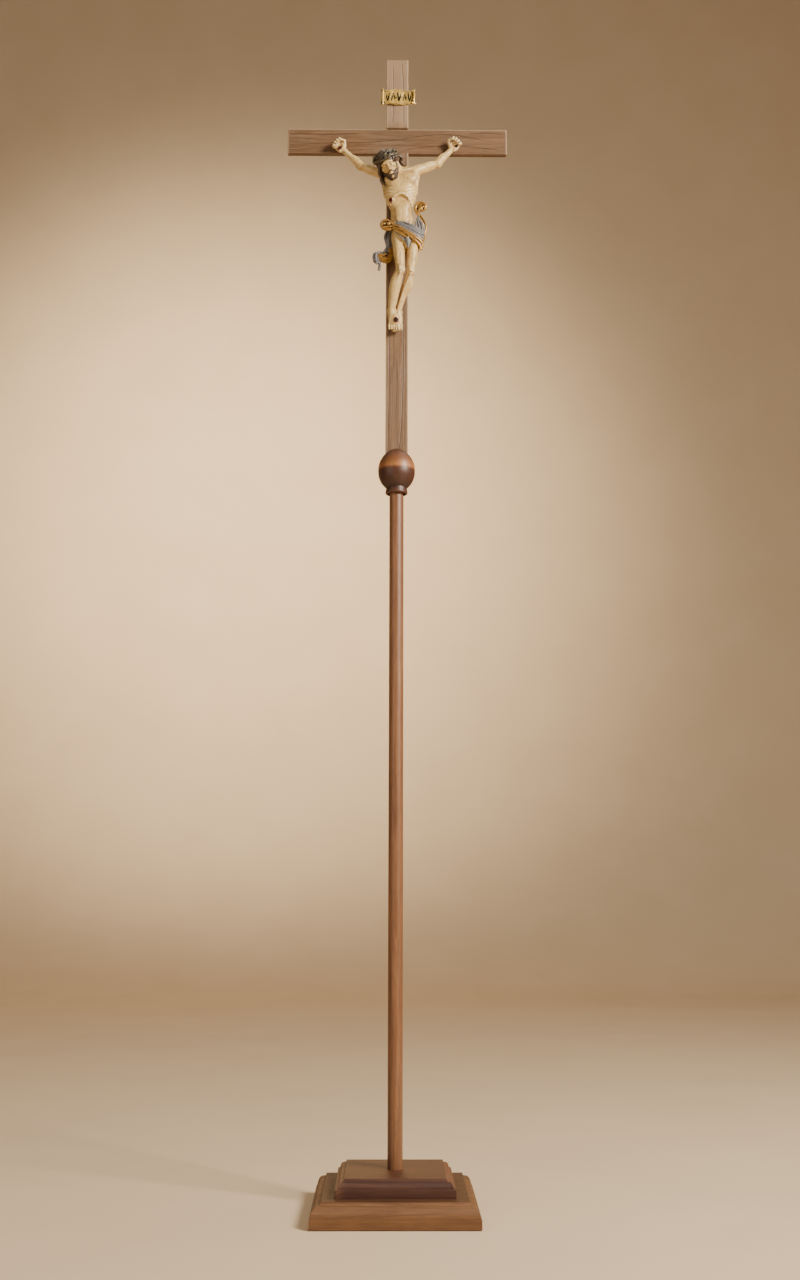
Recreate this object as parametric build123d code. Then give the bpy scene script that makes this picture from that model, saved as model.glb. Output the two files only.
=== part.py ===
"""Standing crucifix of carved and turned wood, for use beside an altar.

A round staff stands in a socket in a two-step moulded base and carries a turned knob.
The cross of two flat boards plugs into the knob, and the carved figure hangs on the cross.
Millimetres. +Z is up, +X is to the viewer's right, and the figure faces -Y.
The origin is on the floor, under the middle of the base.
"""

from build123d import *
import math
import os

os.makedirs("parts", exist_ok=True)

# ---------------------------------------------------------------- driving dimensions
TOTAL_HEIGHT = 2289.0

PAD_HEIGHT = 1.5
PAD_RADIUS = 11.0
PAD_INSET = 26.0

PLINTH_WIDTH = 300.0
PLINTH_TOP_WIDTH = 260.4
PLINTH_TOP = 44.0
STEP_WIDTH = 214.4
STEP_TOP_WIDTH = 182.0
STEP_TOP = 75.0

STAFF_RADIUS = 14.0
SOCKET_CLEARANCE = 0.10
SOCKET_FLOOR = 12.0
DISC_RADIUS = 13.8
DISC_HEIGHT = 3.0

KNOB_BOTTOM = 1353.0
KNOB_CENTRE = 1399.0
KNOB_BULB_HEIGHT = 40.4
KNOB_DOME_HEIGHT = 47.0
KNOB_TOP = 1444.0
KNOB_RADIUS = 36.6
KNOB_NECK_RADIUS = 20.6
KNOB_LIP_RADIUS = 22.2
KNOB_LIP_HEIGHT = 8.0
KNOB_SOCKET_DEPTH = 30.0
KNOB_RECESS_DEPTH = 5.0
KNOB_RECESS_RADIUS = 18.6
MORTISE_FLOOR = 1406.0
MORTISE_CLEARANCE = 0.35

BOARD_WIDTH = 45.0
UPRIGHT_FRONT = -10.0
BOARD_BACK = 10.0
BAR_FRONT = -5.0
BAR_BACK = 7.0
BAR_LENGTH = 454.0
BAR_BOTTOM = 2080.0
BAR_TOP = 2135.0
LAP_PLANE = 2.5
BOARD_CHAMFER = 1.2
STUB_CHAMFER = 2.4

SCROLL_BOTTOM = 2184.0
SCROLL_TOP = 2221.0
SCROLL_HALF_WIDTH = 33.0
SCROLL_THICKNESS = 2.6

SCREW_HEAD_RADIUS = 4.2
SCREW_HEAD_DEPTH = 2.6
SCREW_SHANK_RADIUS = 2.0

BLOCK_CUT = 0.3


def write(shape, name):
    """Exports one node."""
    export_step(shape, f"parts/{name}.step")


def group(solids):
    """Several separate solids in one node."""
    return Compound(children=list(solids))


def turned(points_face, plane=Plane.XZ):
    """A face drawn in the XZ plane, turned about Z."""
    return revolve(plane * points_face, Axis.Z)


def tube_of(radius, low, high, x=0.0, y=0.0):
    """An upright cylinder between two heights."""
    return Pos(x, y, (low + high) / 2) * Cylinder(radius, high - low)


def oriented(start, direction):
    """A plane at start whose Z runs along direction."""
    return Plane(origin=start, z_dir=direction)


def screw(start, direction, length):
    """A countersunk wood screw: start is the middle of the head's face."""
    head = Pos(0, 0, SCREW_HEAD_DEPTH / 2) * Cone(
        SCREW_HEAD_RADIUS, SCREW_SHANK_RADIUS, SCREW_HEAD_DEPTH
    )
    shank_length = length - SCREW_HEAD_DEPTH
    shank = Pos(0, 0, SCREW_HEAD_DEPTH + shank_length / 2) * Cylinder(
        SCREW_SHANK_RADIUS, shank_length
    )
    return oriented(start, direction) * (head + shank)


# ---------------------------------------------------------------- base
def moulded_block(low, high, bottom_width, top_width, band_top, ledge, ledge_rise, cove):
    """A square block with a plain band, a ledge and an ogee: the same outline seen from both sides."""
    half, top_half = bottom_width / 2, top_width / 2
    ovolo_width = half - top_half - ledge - cove[0]
    ovolo_foot = band_top + ledge_rise
    ovolo_height = high - ovolo_foot - cove[1]
    ovolo = EllipticalCenterArc(
        (half - ledge - ovolo_width, ovolo_foot), ovolo_width, ovolo_height, 0, arc_size=90
    )
    hollow = EllipticalCenterArc(
        (top_half + cove[0], high), cove[0], cove[1], 180, arc_size=90
    )
    outline = [
        Line((0, low), (half, low)),
        Line((half, low), (half, band_top)),
        Line((half, band_top), (half - ledge, ovolo_foot)),
        ovolo,
        hollow,
        Line((top_half, high), (0, high)),
        Line((0, high), (0, low)),
    ]
    half_face = make_face(outline)
    face = half_face + mirror(half_face, Plane.YZ)
    along_y = extrude(Plane.XZ * face, bottom_width, both=True)
    along_x = extrude(Plane.YZ * face, bottom_width, both=True)
    return along_y & along_x


def base_parts():
    plinth = moulded_block(
        PAD_HEIGHT, PLINTH_TOP, PLINTH_WIDTH, PLINTH_TOP_WIDTH, 17.5, 2.0, 0.6, (4.2, 6.0)
    )
    step = moulded_block(
        PLINTH_TOP, STEP_TOP, STEP_WIDTH, STEP_TOP_WIDTH, 58.0, 4.3, 1.6, (3.6, 4.8)
    )
    socket = tube_of(STAFF_RADIUS + SOCKET_CLEARANCE, SOCKET_FLOOR, STEP_TOP + 10)
    screw_spread = 62.0
    screws = [
        screw((x, y, PAD_HEIGHT), (0, 0, 1), 58.0)
        for x in (-screw_spread, screw_spread)
        for y in (-screw_spread, screw_spread)
    ]
    pad_place = PLINTH_WIDTH / 2 - PAD_INSET
    pads = [
        tube_of(PAD_RADIUS, 0.0, PAD_HEIGHT, x, y)
        for x in (-pad_place, pad_place)
        for y in (-pad_place, pad_place)
    ]
    plinth -= socket
    step -= socket
    for one in screws:
        plinth -= one
        step -= one
    write(plinth, "base_plinth")
    write(step, "base_step")
    write(group(screws), "base_screws")
    write(group(pads), "base_felt_pads")


# ---------------------------------------------------------------- staff and knob
STAFF_FOOT = SOCKET_FLOOR + DISC_HEIGHT
STAFF_HEAD = KNOB_BOTTOM + KNOB_SOCKET_DEPTH


def staff_parts():
    write(tube_of(DISC_RADIUS, SOCKET_FLOOR, STAFF_FOOT), "socket_disc")

    pole = tube_of(STAFF_RADIUS, STAFF_FOOT, STAFF_HEAD)
    pole = chamfer(pole.edges().filter_by(GeomType.CIRCLE), 1.0)
    knob_screw = screw((0, 0, MORTISE_FLOOR), (0, 0, -1), 62.0)
    pole -= knob_screw
    write(pole, "staff_pole")
    write(knob_screw, "knob_screw")

    lip_top = KNOB_BOTTOM + KNOB_LIP_HEIGHT
    neck_turn = -math.acos(KNOB_NECK_RADIUS / KNOB_RADIUS)
    dome_turn = math.asin((KNOB_TOP - KNOB_CENTRE) / KNOB_DOME_HEIGHT)

    def oval(turn):
        """A point of the knob's oval outline, from below the widest circle to above it."""
        height = KNOB_BULB_HEIGHT if turn < 0 else KNOB_DOME_HEIGHT
        return KNOB_RADIUS * math.cos(turn), KNOB_CENTRE + height * math.sin(turn)

    lower = ThreePointArc(oval(neck_turn), oval(neck_turn / 2), oval(0.0))
    upper = ThreePointArc(oval(0.0), oval(dome_turn / 2), oval(dome_turn))
    lip_low = KNOB_BOTTOM + 3.0
    outline = [
        Line((0, KNOB_BOTTOM), (KNOB_LIP_RADIUS - 2.4, KNOB_BOTTOM)),
        ThreePointArc(
            (KNOB_LIP_RADIUS - 2.4, KNOB_BOTTOM),
            (KNOB_LIP_RADIUS - 0.6, KNOB_BOTTOM + 1.0),
            (KNOB_LIP_RADIUS, lip_low),
        ),
        Line((KNOB_LIP_RADIUS, lip_low), (KNOB_NECK_RADIUS + 0.6, lip_top)),
        Line((KNOB_NECK_RADIUS + 0.6, lip_top), lower @ 0),
        lower,
        upper,
        Line(upper @ 1, (0, KNOB_TOP)),
        Line((0, KNOB_TOP), (0, KNOB_BOTTOM)),
    ]
    knob = turned(make_face(outline))
    knob -= tube_of(STAFF_RADIUS, KNOB_BOTTOM - 5, STAFF_HEAD)
    knob -= tube_of(KNOB_RECESS_RADIUS, KNOB_BOTTOM - 5, KNOB_BOTTOM + KNOB_RECESS_DEPTH)
    knob -= mortise()
    knob -= knob_screw
    write(knob, "staff_knob")


def mortise():
    """The rectangular hole in the knob's top that the upright's foot drops into."""
    width = BOARD_WIDTH + 2 * MORTISE_CLEARANCE
    depth = BOARD_BACK - UPRIGHT_FRONT + 2 * MORTISE_CLEARANCE
    middle = (BOARD_BACK + UPRIGHT_FRONT) / 2
    height = KNOB_TOP - MORTISE_FLOOR + 20
    return Pos(0, middle, MORTISE_FLOOR + height / 2) * Box(width, depth, height)


# ---------------------------------------------------------------- cross
def slab(x0, x1, y0, y1, z0, z1):
    """A block between two corners."""
    return Pos((x0 + x1) / 2, (y0 + y1) / 2, (z0 + z1) / 2) * Box(x1 - x0, y1 - y0, z1 - z0)


def cross_parts():
    half = BOARD_WIDTH / 2
    upright = slab(-half, half, UPRIGHT_FRONT, BOARD_BACK, MORTISE_FLOOR, TOTAL_HEIGHT)
    upright = chamfer(upright.edges(), BOARD_CHAMFER)
    bar = slab(-BAR_LENGTH / 2, BAR_LENGTH / 2, BAR_FRONT, BAR_BACK, BAR_BOTTOM, BAR_TOP)
    bar = chamfer(bar.edges(), BOARD_CHAMFER)
    reach = 2 * BOARD_WIDTH
    upright -= slab(-reach, reach, UPRIGHT_FRONT - 5, LAP_PLANE, BAR_BOTTOM, BAR_TOP)
    slope = Pos(0, UPRIGHT_FRONT, BAR_TOP) * Rot(45, 0, 0)
    upright -= slope * Box(reach, STUB_CHAMFER * math.sqrt(2), STUB_CHAMFER * math.sqrt(2))
    bar -= slab(-half, half, LAP_PLANE, BOARD_BACK + 5, BAR_BOTTOM - 5, BAR_TOP + 5)
    bar_middle = (BAR_BOTTOM + BAR_TOP) / 2
    lap_screws = [
        screw((x, BOARD_BACK, bar_middle + rise), (0, -1, 0), 13.0)
        for x, rise in ((-11.0, 13.0), (11.0, -13.0))
    ]
    figure_screws = [
        screw((0, BOARD_BACK, z), (0, -1, 0), 34.0) for z in (2006.0, 1890.0)
    ]
    for one in lap_screws:
        upright -= one
        bar -= one
    for one in figure_screws:
        upright -= one
    write(group(lap_screws), "lap_screws")
    return upright, bar, figure_screws


def scroll_parts(upright):
    """The curled gilded label, with a pin at each end of its flat."""
    back = UPRIGHT_FRONT - 0.2
    front = back - SCROLL_THICKNESS
    curl = 4.2
    end = SCROLL_HALF_WIDTH

    def ribbon(side):
        """One half of the ribbon's plan: flat, then rolled back round a curl."""
        centre = (side * end, front + curl)
        outer = [
            Line((0, front), (side * end, front)),
            ThreePointArc(
                (side * end, front),
                (centre[0] + side * curl, centre[1]),
                (side * end, front + 2 * curl),
            ),
            Line(
                (side * end, front + 2 * curl),
                (side * end, front + 2 * curl - SCROLL_THICKNESS),
            ),
            ThreePointArc(
                (side * end, front + 2 * curl - SCROLL_THICKNESS),
                (centre[0] + side * (curl - SCROLL_THICKNESS), centre[1]),
                (side * end, back),
            ),
            Line((side * end, back), (0, back)),
            Line((0, back), (0, front)),
        ]
        return make_face(outer)

    plan = ribbon(1) + ribbon(-1)
    scroll = Pos(0, 0, SCROLL_BOTTOM) * extrude(plan, SCROLL_TOP - SCROLL_BOTTOM)
    middle = (SCROLL_BOTTOM + SCROLL_TOP) / 2
    pins = []
    for x in (-17.0, 17.0):
        head = oriented((x, front - 0.8, middle), (0, 1, 0)) * (Pos(0, 0, 0.4) * Cylinder(1.6, 0.8))
        shank = oriented((x, front, middle), (0, 1, 0)) * (Pos(0, 0, 6.0) * Cylinder(0.7, 12.0))
        pins.append(head + shank)
    for one in pins:
        scroll -= one
        upright -= one
    write(scroll, "title_scroll")
    write(group(pins), "title_pins")
    return upright


# ---------------------------------------------------------------- figure
def limb(start, start_radius, end, end_radius):
    """A rounded, tapering rod between two points: two balls and the cone that touches both."""
    a, b = Vector(*start), Vector(*end)
    length = (b - a).length
    slope = math.asin((start_radius - end_radius) / length)
    c, s = math.cos(slope), math.sin(slope)
    low = (start_radius * c, start_radius * s)
    high = (end_radius * c, length + end_radius * s)
    low_mid = math.radians((-90 + math.degrees(slope)) / 2)
    high_mid = math.radians((90 + math.degrees(slope)) / 2)
    outline = [
        ThreePointArc(
            (0, -start_radius),
            (start_radius * math.cos(low_mid), start_radius * math.sin(low_mid)),
            low,
        ),
        Line(low, high),
        ThreePointArc(
            high,
            (end_radius * math.cos(high_mid), length + end_radius * math.sin(high_mid)),
            (0, length + end_radius),
        ),
        Line((0, length + end_radius), (0, -start_radius)),
    ]
    return oriented(a, b - a) * turned(make_face(outline))


def chain(points):
    """Limbs end to end through (x, y, z, radius) points, each start a hair inside the ball before it."""
    shape = None
    for number, (here, there) in enumerate(zip(points, points[1:])):
        start_radius = here[3] - (0.25 if number else 0.0)
        piece = limb(here[:3], start_radius, there[:3], there[3])
        shape = piece if shape is None else shape + piece
    return shape


def stack(sections):
    """A smooth body through level ellipses: (x, y, z, half width, half depth)."""
    faces = [Pos(x, y, z) * Ellipse(a, b) for x, y, z, a, b in sections]
    return loft(faces)


# The viewer's left is -X. Points are joint centres of the figure.
TORSO = (
    (19.0, -31.0, 1868.0, 25.0, 17.0),
    (16.0, -31.0, 1888.0, 31.0, 19.0),
    (8.0, -31.0, 1920.0, 24.0, 17.0),
    (6.0, -34.0, 1950.0, 26.5, 20.0),
    (5.0, -36.0, 1985.0, 33.5, 23.0),
    (4.0, -33.0, 2010.0, 34.0, 20.0),
    (2.0, -31.0, 2032.0, 22.0, 13.0),
)
ARM_LEFT = (
    (-30.0, -29.0, 2019.0, 11.5),
    (-58.0, -24.0, 2029.0, 9.5),
    (-74.5, -20.0, 2043.0, 8.6),
    (-93.0, -16.5, 2063.0, 7.6),
    (-108.5, -13.0, 2081.0, 6.0),
)
ARM_RIGHT = (
    (36.0, -29.0, 2028.0, 11.5),
    (62.0, -24.5, 2041.0, 9.5),
    (82.5, -20.0, 2050.5, 8.6),
    (97.0, -16.5, 2067.0, 7.6),
    (109.5, -13.0, 2083.5, 6.0),
)
HAND_LEFT = (
    (-108.5, -13.0, 2081.0, 5.7),
    (-118.0, -11.5, 2089.5, 7.5),
    (-128.0, -13.0, 2098.0, 7.5),
)
HAND_RIGHT = (
    (109.5, -13.0, 2083.5, 5.7),
    (119.5, -11.5, 2096.0, 7.5),
    (128.0, -13.0, 2104.0, 8.0),
)
LEG_LEFT = (
    (0.0, -33.0, 1874.0, 14.5),
    (5.5, -47.0, 1812.0, 11.5),
    (-4.0, -39.0, 1780.0, 12.2),
    (-7.5, -29.0, 1732.0, 7.5),
    (-6.0, -30.0, 1712.0, 8.5),
    (-4.0, -31.0, 1693.0, 8.0),
)
LEG_RIGHT = (
    (33.0, -33.0, 1874.0, 15.0),
    (27.0, -43.0, 1808.0, 9.5),
    (19.5, -33.0, 1780.0, 10.5),
    (7.5, -21.0, 1732.0, 6.8),
    (5.0, -19.6, 1712.0, 7.5),
    (4.5, -19.0, 1694.0, 7.5),
)
NECK = ((0.0, -33.0, 2026.0, 12.0), (-13.0, -50.0, 2022.0, 11.0))
SKULL = (-21.3, -61.0, 2031.6, 19.5)
CHIN = (-9.5, -62.5, 2004.0, 9.5)
HEAD_UP = (-0.43, -0.385, 0.815)
HAIR_CENTRE = (-22.5, -62.0, 2033.5)
HAIR_RADIUS = 23.5
HAIR_LOCK = ((-34.0, -58.0, 2018.0, 8.0), (-29.0, -49.0, 1995.0, 5.5))
NAPE_LOCK = ((-8.0, -53.0, 2050.0, 5.0), (4.0, -43.0, 2056.0, 4.8), (13.0, -34.0, 2038.0, 4.0))
FACE_CUT = (-19.2, -68.0, 2022.8)
FACE_OUT = (-0.02, -0.9, -0.43)
CROWN_CENTRE = (-25.5, -66.8, 2038.4)
CROWN_RADIUS = 21.0
CROWN_THICKNESS = 4.5
LOINCLOTH = (
    (33.0, -33.0, 1858.0, 19.5, 20.0),
    (24.0, -33.0, 1876.0, 33.0, 24.0),
    (22.0, -33.0, 1893.0, 36.0, 23.5),
    (18.0, -32.0, 1908.0, 32.0, 20.0),
)
KNOT = ((-24.0, -42.0, 1906.0, 10.5), (-11.0, -46.0, 1901.0, 6.5))
WING = (
    (52.0, -34.0, 1898.0, 6.0),
    (50.0, -36.0, 1916.0, 6.5),
    (43.0, -38.0, 1930.0, 6.0),
    (48.0, -40.0, 1944.0, 11.5),
)
TAIL = (
    (-18.0, -32.0, 1893.0, 6.5),
    (-22.0, -28.0, 1876.0, 7.0),
    (-19.0, -27.0, 1858.0, 7.5),
    (-20.0, -27.0, 1840.0, 11.0),
    (-41.0, -29.0, 1839.0, 10.5),
)
TAIL_DROP = ((-38.0, -28.0, 1828.0, 5.0), (-36.5, -28.0, 1816.0, 4.2))


def between(ends):
    """A limb between two (x, y, z, radius) points."""
    start, end = ends
    return limb(start[:3], start[3], end[:3], end[3])


def figure_parts(upright, bar, figure_screws):
    trunk = stack(TORSO) + between(NECK) + between((SKULL, CHIN))
    trunk = trunk + chain(LEG_LEFT) + chain(LEG_RIGHT)
    trunk -= slab(-80, 80, UPRIGHT_FRONT, 60, 1600, 2200)

    back = slab(-120, 120, BAR_FRONT - BLOCK_CUT, 60, 1900, 2200)
    crown = oriented(CROWN_CENTRE, HEAD_UP) * Torus(CROWN_RADIUS, CROWN_THICKNESS) - back
    face_side = oriented(FACE_CUT, FACE_OUT) * (Pos(0, 0, 30) * Box(90, 90, 60))
    hair = Pos(*HAIR_CENTRE) * Sphere(HAIR_RADIUS) - face_side - crown
    hair = hair + (between(HAIR_LOCK) - crown) + (chain(NAPE_LOCK) - crown) - back
    trunk = trunk - crown - hair

    arms = []
    for arm_points, hand_points in ((ARM_LEFT, HAND_LEFT), (ARM_RIGHT, HAND_RIGHT)):
        arm = chain(arm_points) + chain(hand_points)
        arm -= slab(-300, 300, BAR_FRONT, 60, 1900, 2200)
        arms.append(arm)
    dowels = []
    for number, side in ((0, -1), (1, 1)):
        x0 = 3.0 + side * 20.0
        dowel = limb((x0, -30.0, 2018.0), 3.0, (x0 + side * 26.0, -28.0, 2023.0), 2.9)
        dowels.append(dowel)
        arms[number] = arms[number] - trunk - hair - crown - dowel
        trunk -= dowel

    cloth = stack(LOINCLOTH)
    cloth -= slab(-120, 120, UPRIGHT_FRONT - BLOCK_CUT, 60, 1700, 2000)
    cloth -= trunk
    knot = between(KNOT) - trunk - cloth
    tail = chain(TAIL) + between(TAIL_DROP)
    tail = tail - trunk - cloth - knot
    wing = chain(WING) - trunk - cloth

    for one in figure_screws:
        trunk -= one
        cloth -= one

    hand_nails = []
    for number, x, z in ((0, -118.5, 2086.5), (1, 121.7, 2091.5)):
        nail = nail_solid((x, -17.8, z), (0, 1, 0), 22.0, 3.2)
        hand_nails.append(nail)
        arms[number] -= nail
        bar -= nail
    foot_nail = nail_solid((-1.8, -38.5, 1704.0), (0, 1, 0), 44.0, 4.0)
    trunk -= foot_nail
    upright -= foot_nail

    write(trunk, "corpus_trunk")
    write(hair, "corpus_hair")
    write(crown, "crown_of_thorns")
    write(arms[0], "corpus_arm_left")
    write(arms[1], "corpus_arm_right")
    write(group(dowels), "shoulder_dowels")
    write(cloth, "loincloth_wrap")
    write(knot, "loincloth_knot")
    write(wing, "loincloth_wing")
    write(tail, "loincloth_tail")
    write(group(hand_nails), "hand_nails")
    write(foot_nail, "foot_nail")
    write(group(figure_screws), "figure_screws")
    return upright, bar


def nail_solid(start, direction, length, head_radius):
    """A nail with a domed head; start is under the middle of the head."""
    head = Pos(0, 0, -0.4) * Cone(head_radius - 0.8, head_radius, 1.6)
    shank = Pos(0, 0, length / 2) * Cylinder(1.2, length)
    return oriented(start, direction) * (head + shank)


base_parts()
staff_parts()
upright_board, bar_board, screws_behind = cross_parts()
upright_board = scroll_parts(upright_board)
upright_board, bar_board = figure_parts(upright_board, bar_board, screws_behind)
write(upright_board, "cross_upright")
write(bar_board, "cross_bar")
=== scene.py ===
"""Looks of a standing altar cross: waxed boards, a turned staff, a moulded base and a painted figure.

The carved pieces are modelled as clay: rounded solids melted together on a grid and then skinned.
All carving is in millimetres in the frame's axes: X to the viewer's right, -Y to the viewer, Z up.
"""

import math

import bpy
import numpy as np
from mathutils import Matrix, Vector


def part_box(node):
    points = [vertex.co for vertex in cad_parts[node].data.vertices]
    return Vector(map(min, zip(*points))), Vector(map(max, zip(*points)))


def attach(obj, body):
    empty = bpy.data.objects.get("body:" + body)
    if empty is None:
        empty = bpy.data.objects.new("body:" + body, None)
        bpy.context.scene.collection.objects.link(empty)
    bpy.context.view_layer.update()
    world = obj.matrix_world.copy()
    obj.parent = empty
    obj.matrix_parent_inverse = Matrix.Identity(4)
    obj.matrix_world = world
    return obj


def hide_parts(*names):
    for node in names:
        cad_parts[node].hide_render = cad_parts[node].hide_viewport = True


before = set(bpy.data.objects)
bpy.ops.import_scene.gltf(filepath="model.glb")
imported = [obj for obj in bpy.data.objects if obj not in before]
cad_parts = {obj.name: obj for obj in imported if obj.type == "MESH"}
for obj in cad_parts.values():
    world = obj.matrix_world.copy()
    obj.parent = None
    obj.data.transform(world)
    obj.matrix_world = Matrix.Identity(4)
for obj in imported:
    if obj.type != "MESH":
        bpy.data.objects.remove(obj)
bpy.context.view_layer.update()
MM = 0.001
# the distance that an untouched cell of clay holds, in millimetres
EMPTY = 9
# the carvings stop short of the boards' faces by this much
GAP = 0.05


# ------------------------------------------------------------------ vectors
def vec(*values):
    return np.array(values, float)


def unit(v):
    v = np.asarray(v, float)
    return v / np.linalg.norm(v)


def node_box(name):
    """A CAD node's lowest and highest corners, in millimetres."""
    low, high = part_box(name)
    return np.array(low) / MM, np.array(high) / MM


# ------------------------------------------------------------------ clay
def melt(a, b, blend):
    """The smooth minimum of two distance fields."""
    share = np.clip(0.5 + 0.5 * (b - a) / blend, 0, 1)
    return b + (a - b) * share - blend * share * (1 - share)


def rod(a, b, ra, rb=None):
    """A round bar from a to b whose radius runs from ra to rb."""
    a, b = np.asarray(a, float), np.asarray(b, float)
    rb = ra if rb is None else rb
    along = b - a
    squared = max(float(along @ along), 1e-9)

    def distance(x, y, z):
        px, py, pz = x - a[0], y - a[1], z - a[2]
        t = np.clip((px * along[0] + py * along[1] + pz * along[2]) / squared, 0, 1)
        qx, qy, qz = px - along[0] * t, py - along[1] * t, pz - along[2] * t
        return np.sqrt(qx * qx + qy * qy + qz * qz) - (ra + (rb - ra) * t)

    reach = max(ra, rb)
    return np.minimum(a, b) - reach, np.maximum(a, b) + reach, distance


def egg(centre, radii, up=(0, 0, 1), front=(0, -1, 0)):
    """An ellipsoid: radii are across, front to back, and along up."""
    centre = np.asarray(centre, float)
    w = unit(up)
    v = unit(np.asarray(front, float) - w * (np.asarray(front, float) @ w))
    u = np.cross(w, v)
    axes = np.array([u, v, w])
    r = np.asarray(radii, float)

    def distance(x, y, z):
        p = (x - centre[0], y - centre[1], z - centre[2])
        local = [axes[i][0] * p[0] + axes[i][1] * p[1] + axes[i][2] * p[2] for i in range(3)]
        near = np.sqrt(sum((local[i] / r[i]) ** 2 for i in range(3)))
        far = np.sqrt(sum((local[i] / r[i] ** 2) ** 2 for i in range(3)))
        return near * (near - 1) / np.maximum(far, 1e-6)

    reach = float(r.max())
    return centre - reach, centre + reach, distance


def slab(low, high):
    """A plain block between two corners."""
    low, high = np.asarray(low, float), np.asarray(high, float)

    def distance(x, y, z):
        gaps = [np.maximum(low[i] - p, p - high[i]) for i, p in enumerate((x, y, z))]
        return np.maximum(np.maximum(gaps[0], gaps[1]), gaps[2])

    return low, high, distance


class Clay:
    """Distances to a surface on a regular grid, negative inside."""

    def __init__(self, low, high, step):
        self.low, self.step = np.asarray(low, float), step
        count = np.ceil((np.asarray(high, float) - self.low) / step).astype(int) + 1
        self.field = np.full(count, EMPTY, np.float32)

    def window(self, low, high, margin):
        """The part of the grid round a box: its slices, and its x, y and z as three flat arrays."""
        first = np.floor((low - margin - self.low) / self.step).astype(int)
        last = np.ceil((high + margin - self.low) / self.step).astype(int) + 1
        first, last = (np.clip(ends, 0, self.field.shape) for ends in (first, last))
        ticks = [(self.low[i] + self.step * np.arange(first[i],
            last[i])).astype(np.float32) for i in range(3)]
        return tuple(slice(*ends) for ends in zip(first, last)), np.ix_(*ticks)

    def add(self, shape, blend=2, sign=1):
        low, high, distance = shape
        cut, grid = self.window(low, high, blend + 2 * self.step)
        here = self.field[cut]
        if here.size:
            self.field[cut] = sign * melt(sign * here, distance(*grid), blend)

    def carve(self, shape, blend=1):
        self.add(shape, blend, -1)

    def line(self, points, blend=1, carve=False):
        """One bar of changing thickness through (x, y, z, radius) points."""
        points = np.asarray(points, float)
        reach = points[:, 3].max()
        low, high = points[:, :3].min(0) - reach, points[:, :3].max(0) + reach
        margin = blend + 2 * self.step
        whole, _ = self.window(low, high, margin)
        if not self.field[whole].size:
            return
        corner = [part.start for part in whole]
        bar = np.full(self.field[whole].shape, EMPTY, np.float32)
        for here, there in zip(points, points[1:]):
            low, high, distance = rod(here[:3], there[:3], here[3], there[3])
            cut, grid = self.window(low, high, margin)
            cut = tuple(slice(part.start - c, part.stop - c) for part, c in zip(cut, corner))
            if bar[cut].size:
                bar[cut] = np.minimum(bar[cut], distance(*grid))
        here = self.field[whole]
        self.field[whole] = -melt(-here, bar, blend) if carve else melt(here, bar, blend)

    def press(self, low, high, rule):
        """Moves the surface in by rule(x, y, z) millimetres inside a box, or out where that is negative."""
        cut, grid = self.window(np.asarray(low, float), np.asarray(high, float), 0)
        self.field[cut] += np.clip(rule(*grid), -2.5, 2.5).astype(np.float32)

    def reading(self, points):
        """The distance at each point, from the nearest grid point."""
        index = np.rint((points - self.low) / self.step).astype(int)
        index = np.clip(index, 0, np.array(self.field.shape) - 1)
        return self.field[tuple(index.T)]

    def skin(self):
        """Vertices and quads of the surface, one vertex in each cell that the surface crosses."""
        field, shape = self.field, np.array(self.field.shape)
        inside = field < 0
        corners = [(i, j, k) for i in (0, 1) for j in (0, 1) for k in (0, 1)]
        full = np.zeros(shape - 1, np.uint8)
        for c in corners:
            full += inside[tuple(slice(c[i], shape[i] - 1 + c[i]) for i in range(3))]
        cells = np.argwhere((full > 0) & (full < 8))
        values = np.stack([field[tuple((cells + c).T)] for c in corners], 1)
        total, hits = np.zeros((len(cells), 3)), np.zeros(len(cells))
        for a, ca in enumerate(corners):
            for b in range(a + 1, 8):
                cb = corners[b]
                if sum(abs(ca[i] - cb[i]) for i in range(3)) != 1:
                    continue
                va, vb = values[:, a], values[:, b]
                crossed = (va < 0) != (vb < 0)
                t = np.where(crossed, va / np.where(crossed, va - vb, 1), 0)[:, None]
                total += np.where(crossed[:, None], np.array(ca) + t * (np.array(cb) - ca), 0)
                hits += crossed
        points = self.low + self.step * (cells + total / hits[:, None])
        keys = np.ravel_multi_index(tuple(cells.T), tuple(shape - 1))
        quads = []
        for axis in range(3):
            one = [slice(None)] * 3
            two = [slice(None)] * 3
            one[axis], two[axis] = slice(0, -1), slice(1, None)
            edges = np.argwhere(inside[tuple(one)] != inside[tuple(two)])
            b, c = (axis + 1) % 3, (axis + 2) % 3
            good = (edges[:, b] > 0) & (edges[:, c] > 0)
            good &= (edges[:, b] < shape[b] - 1) & (edges[:, c] < shape[c] - 1)
            edges = edges[good]
            ring = []
            for db, dc in ((-1, -1), (0, -1), (0, 0), (-1, 0)):
                cell = edges.copy()
                cell[:, b] += db
                cell[:, c] += dc
                ring.append(np.searchsorted(keys, np.ravel_multi_index(tuple(cell.T), tuple(shape - 1))))
            ring = np.stack(ring, 1)
            outward = inside[tuple(edges.T)]
            quads.append(np.where(outward[:, None], ring, ring[:, ::-1]))
        return points, np.concatenate(quads)


def smoothed(points, steps, rounds):
    """The same points joined by a smooth curve, with so many steps from each to the next."""
    points = np.asarray(points, float)
    spread = np.linspace(0, len(points) - 1, steps * (len(points) - 1) + 1)
    path = np.stack([np.interp(spread, np.arange(len(points)), column) for column in points.T], 1)
    for _ in range(rounds):
        path[1:-1] = 0.5 * path[1:-1] + 0.25 * (path[:-2] + path[2:])
    return path


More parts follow.
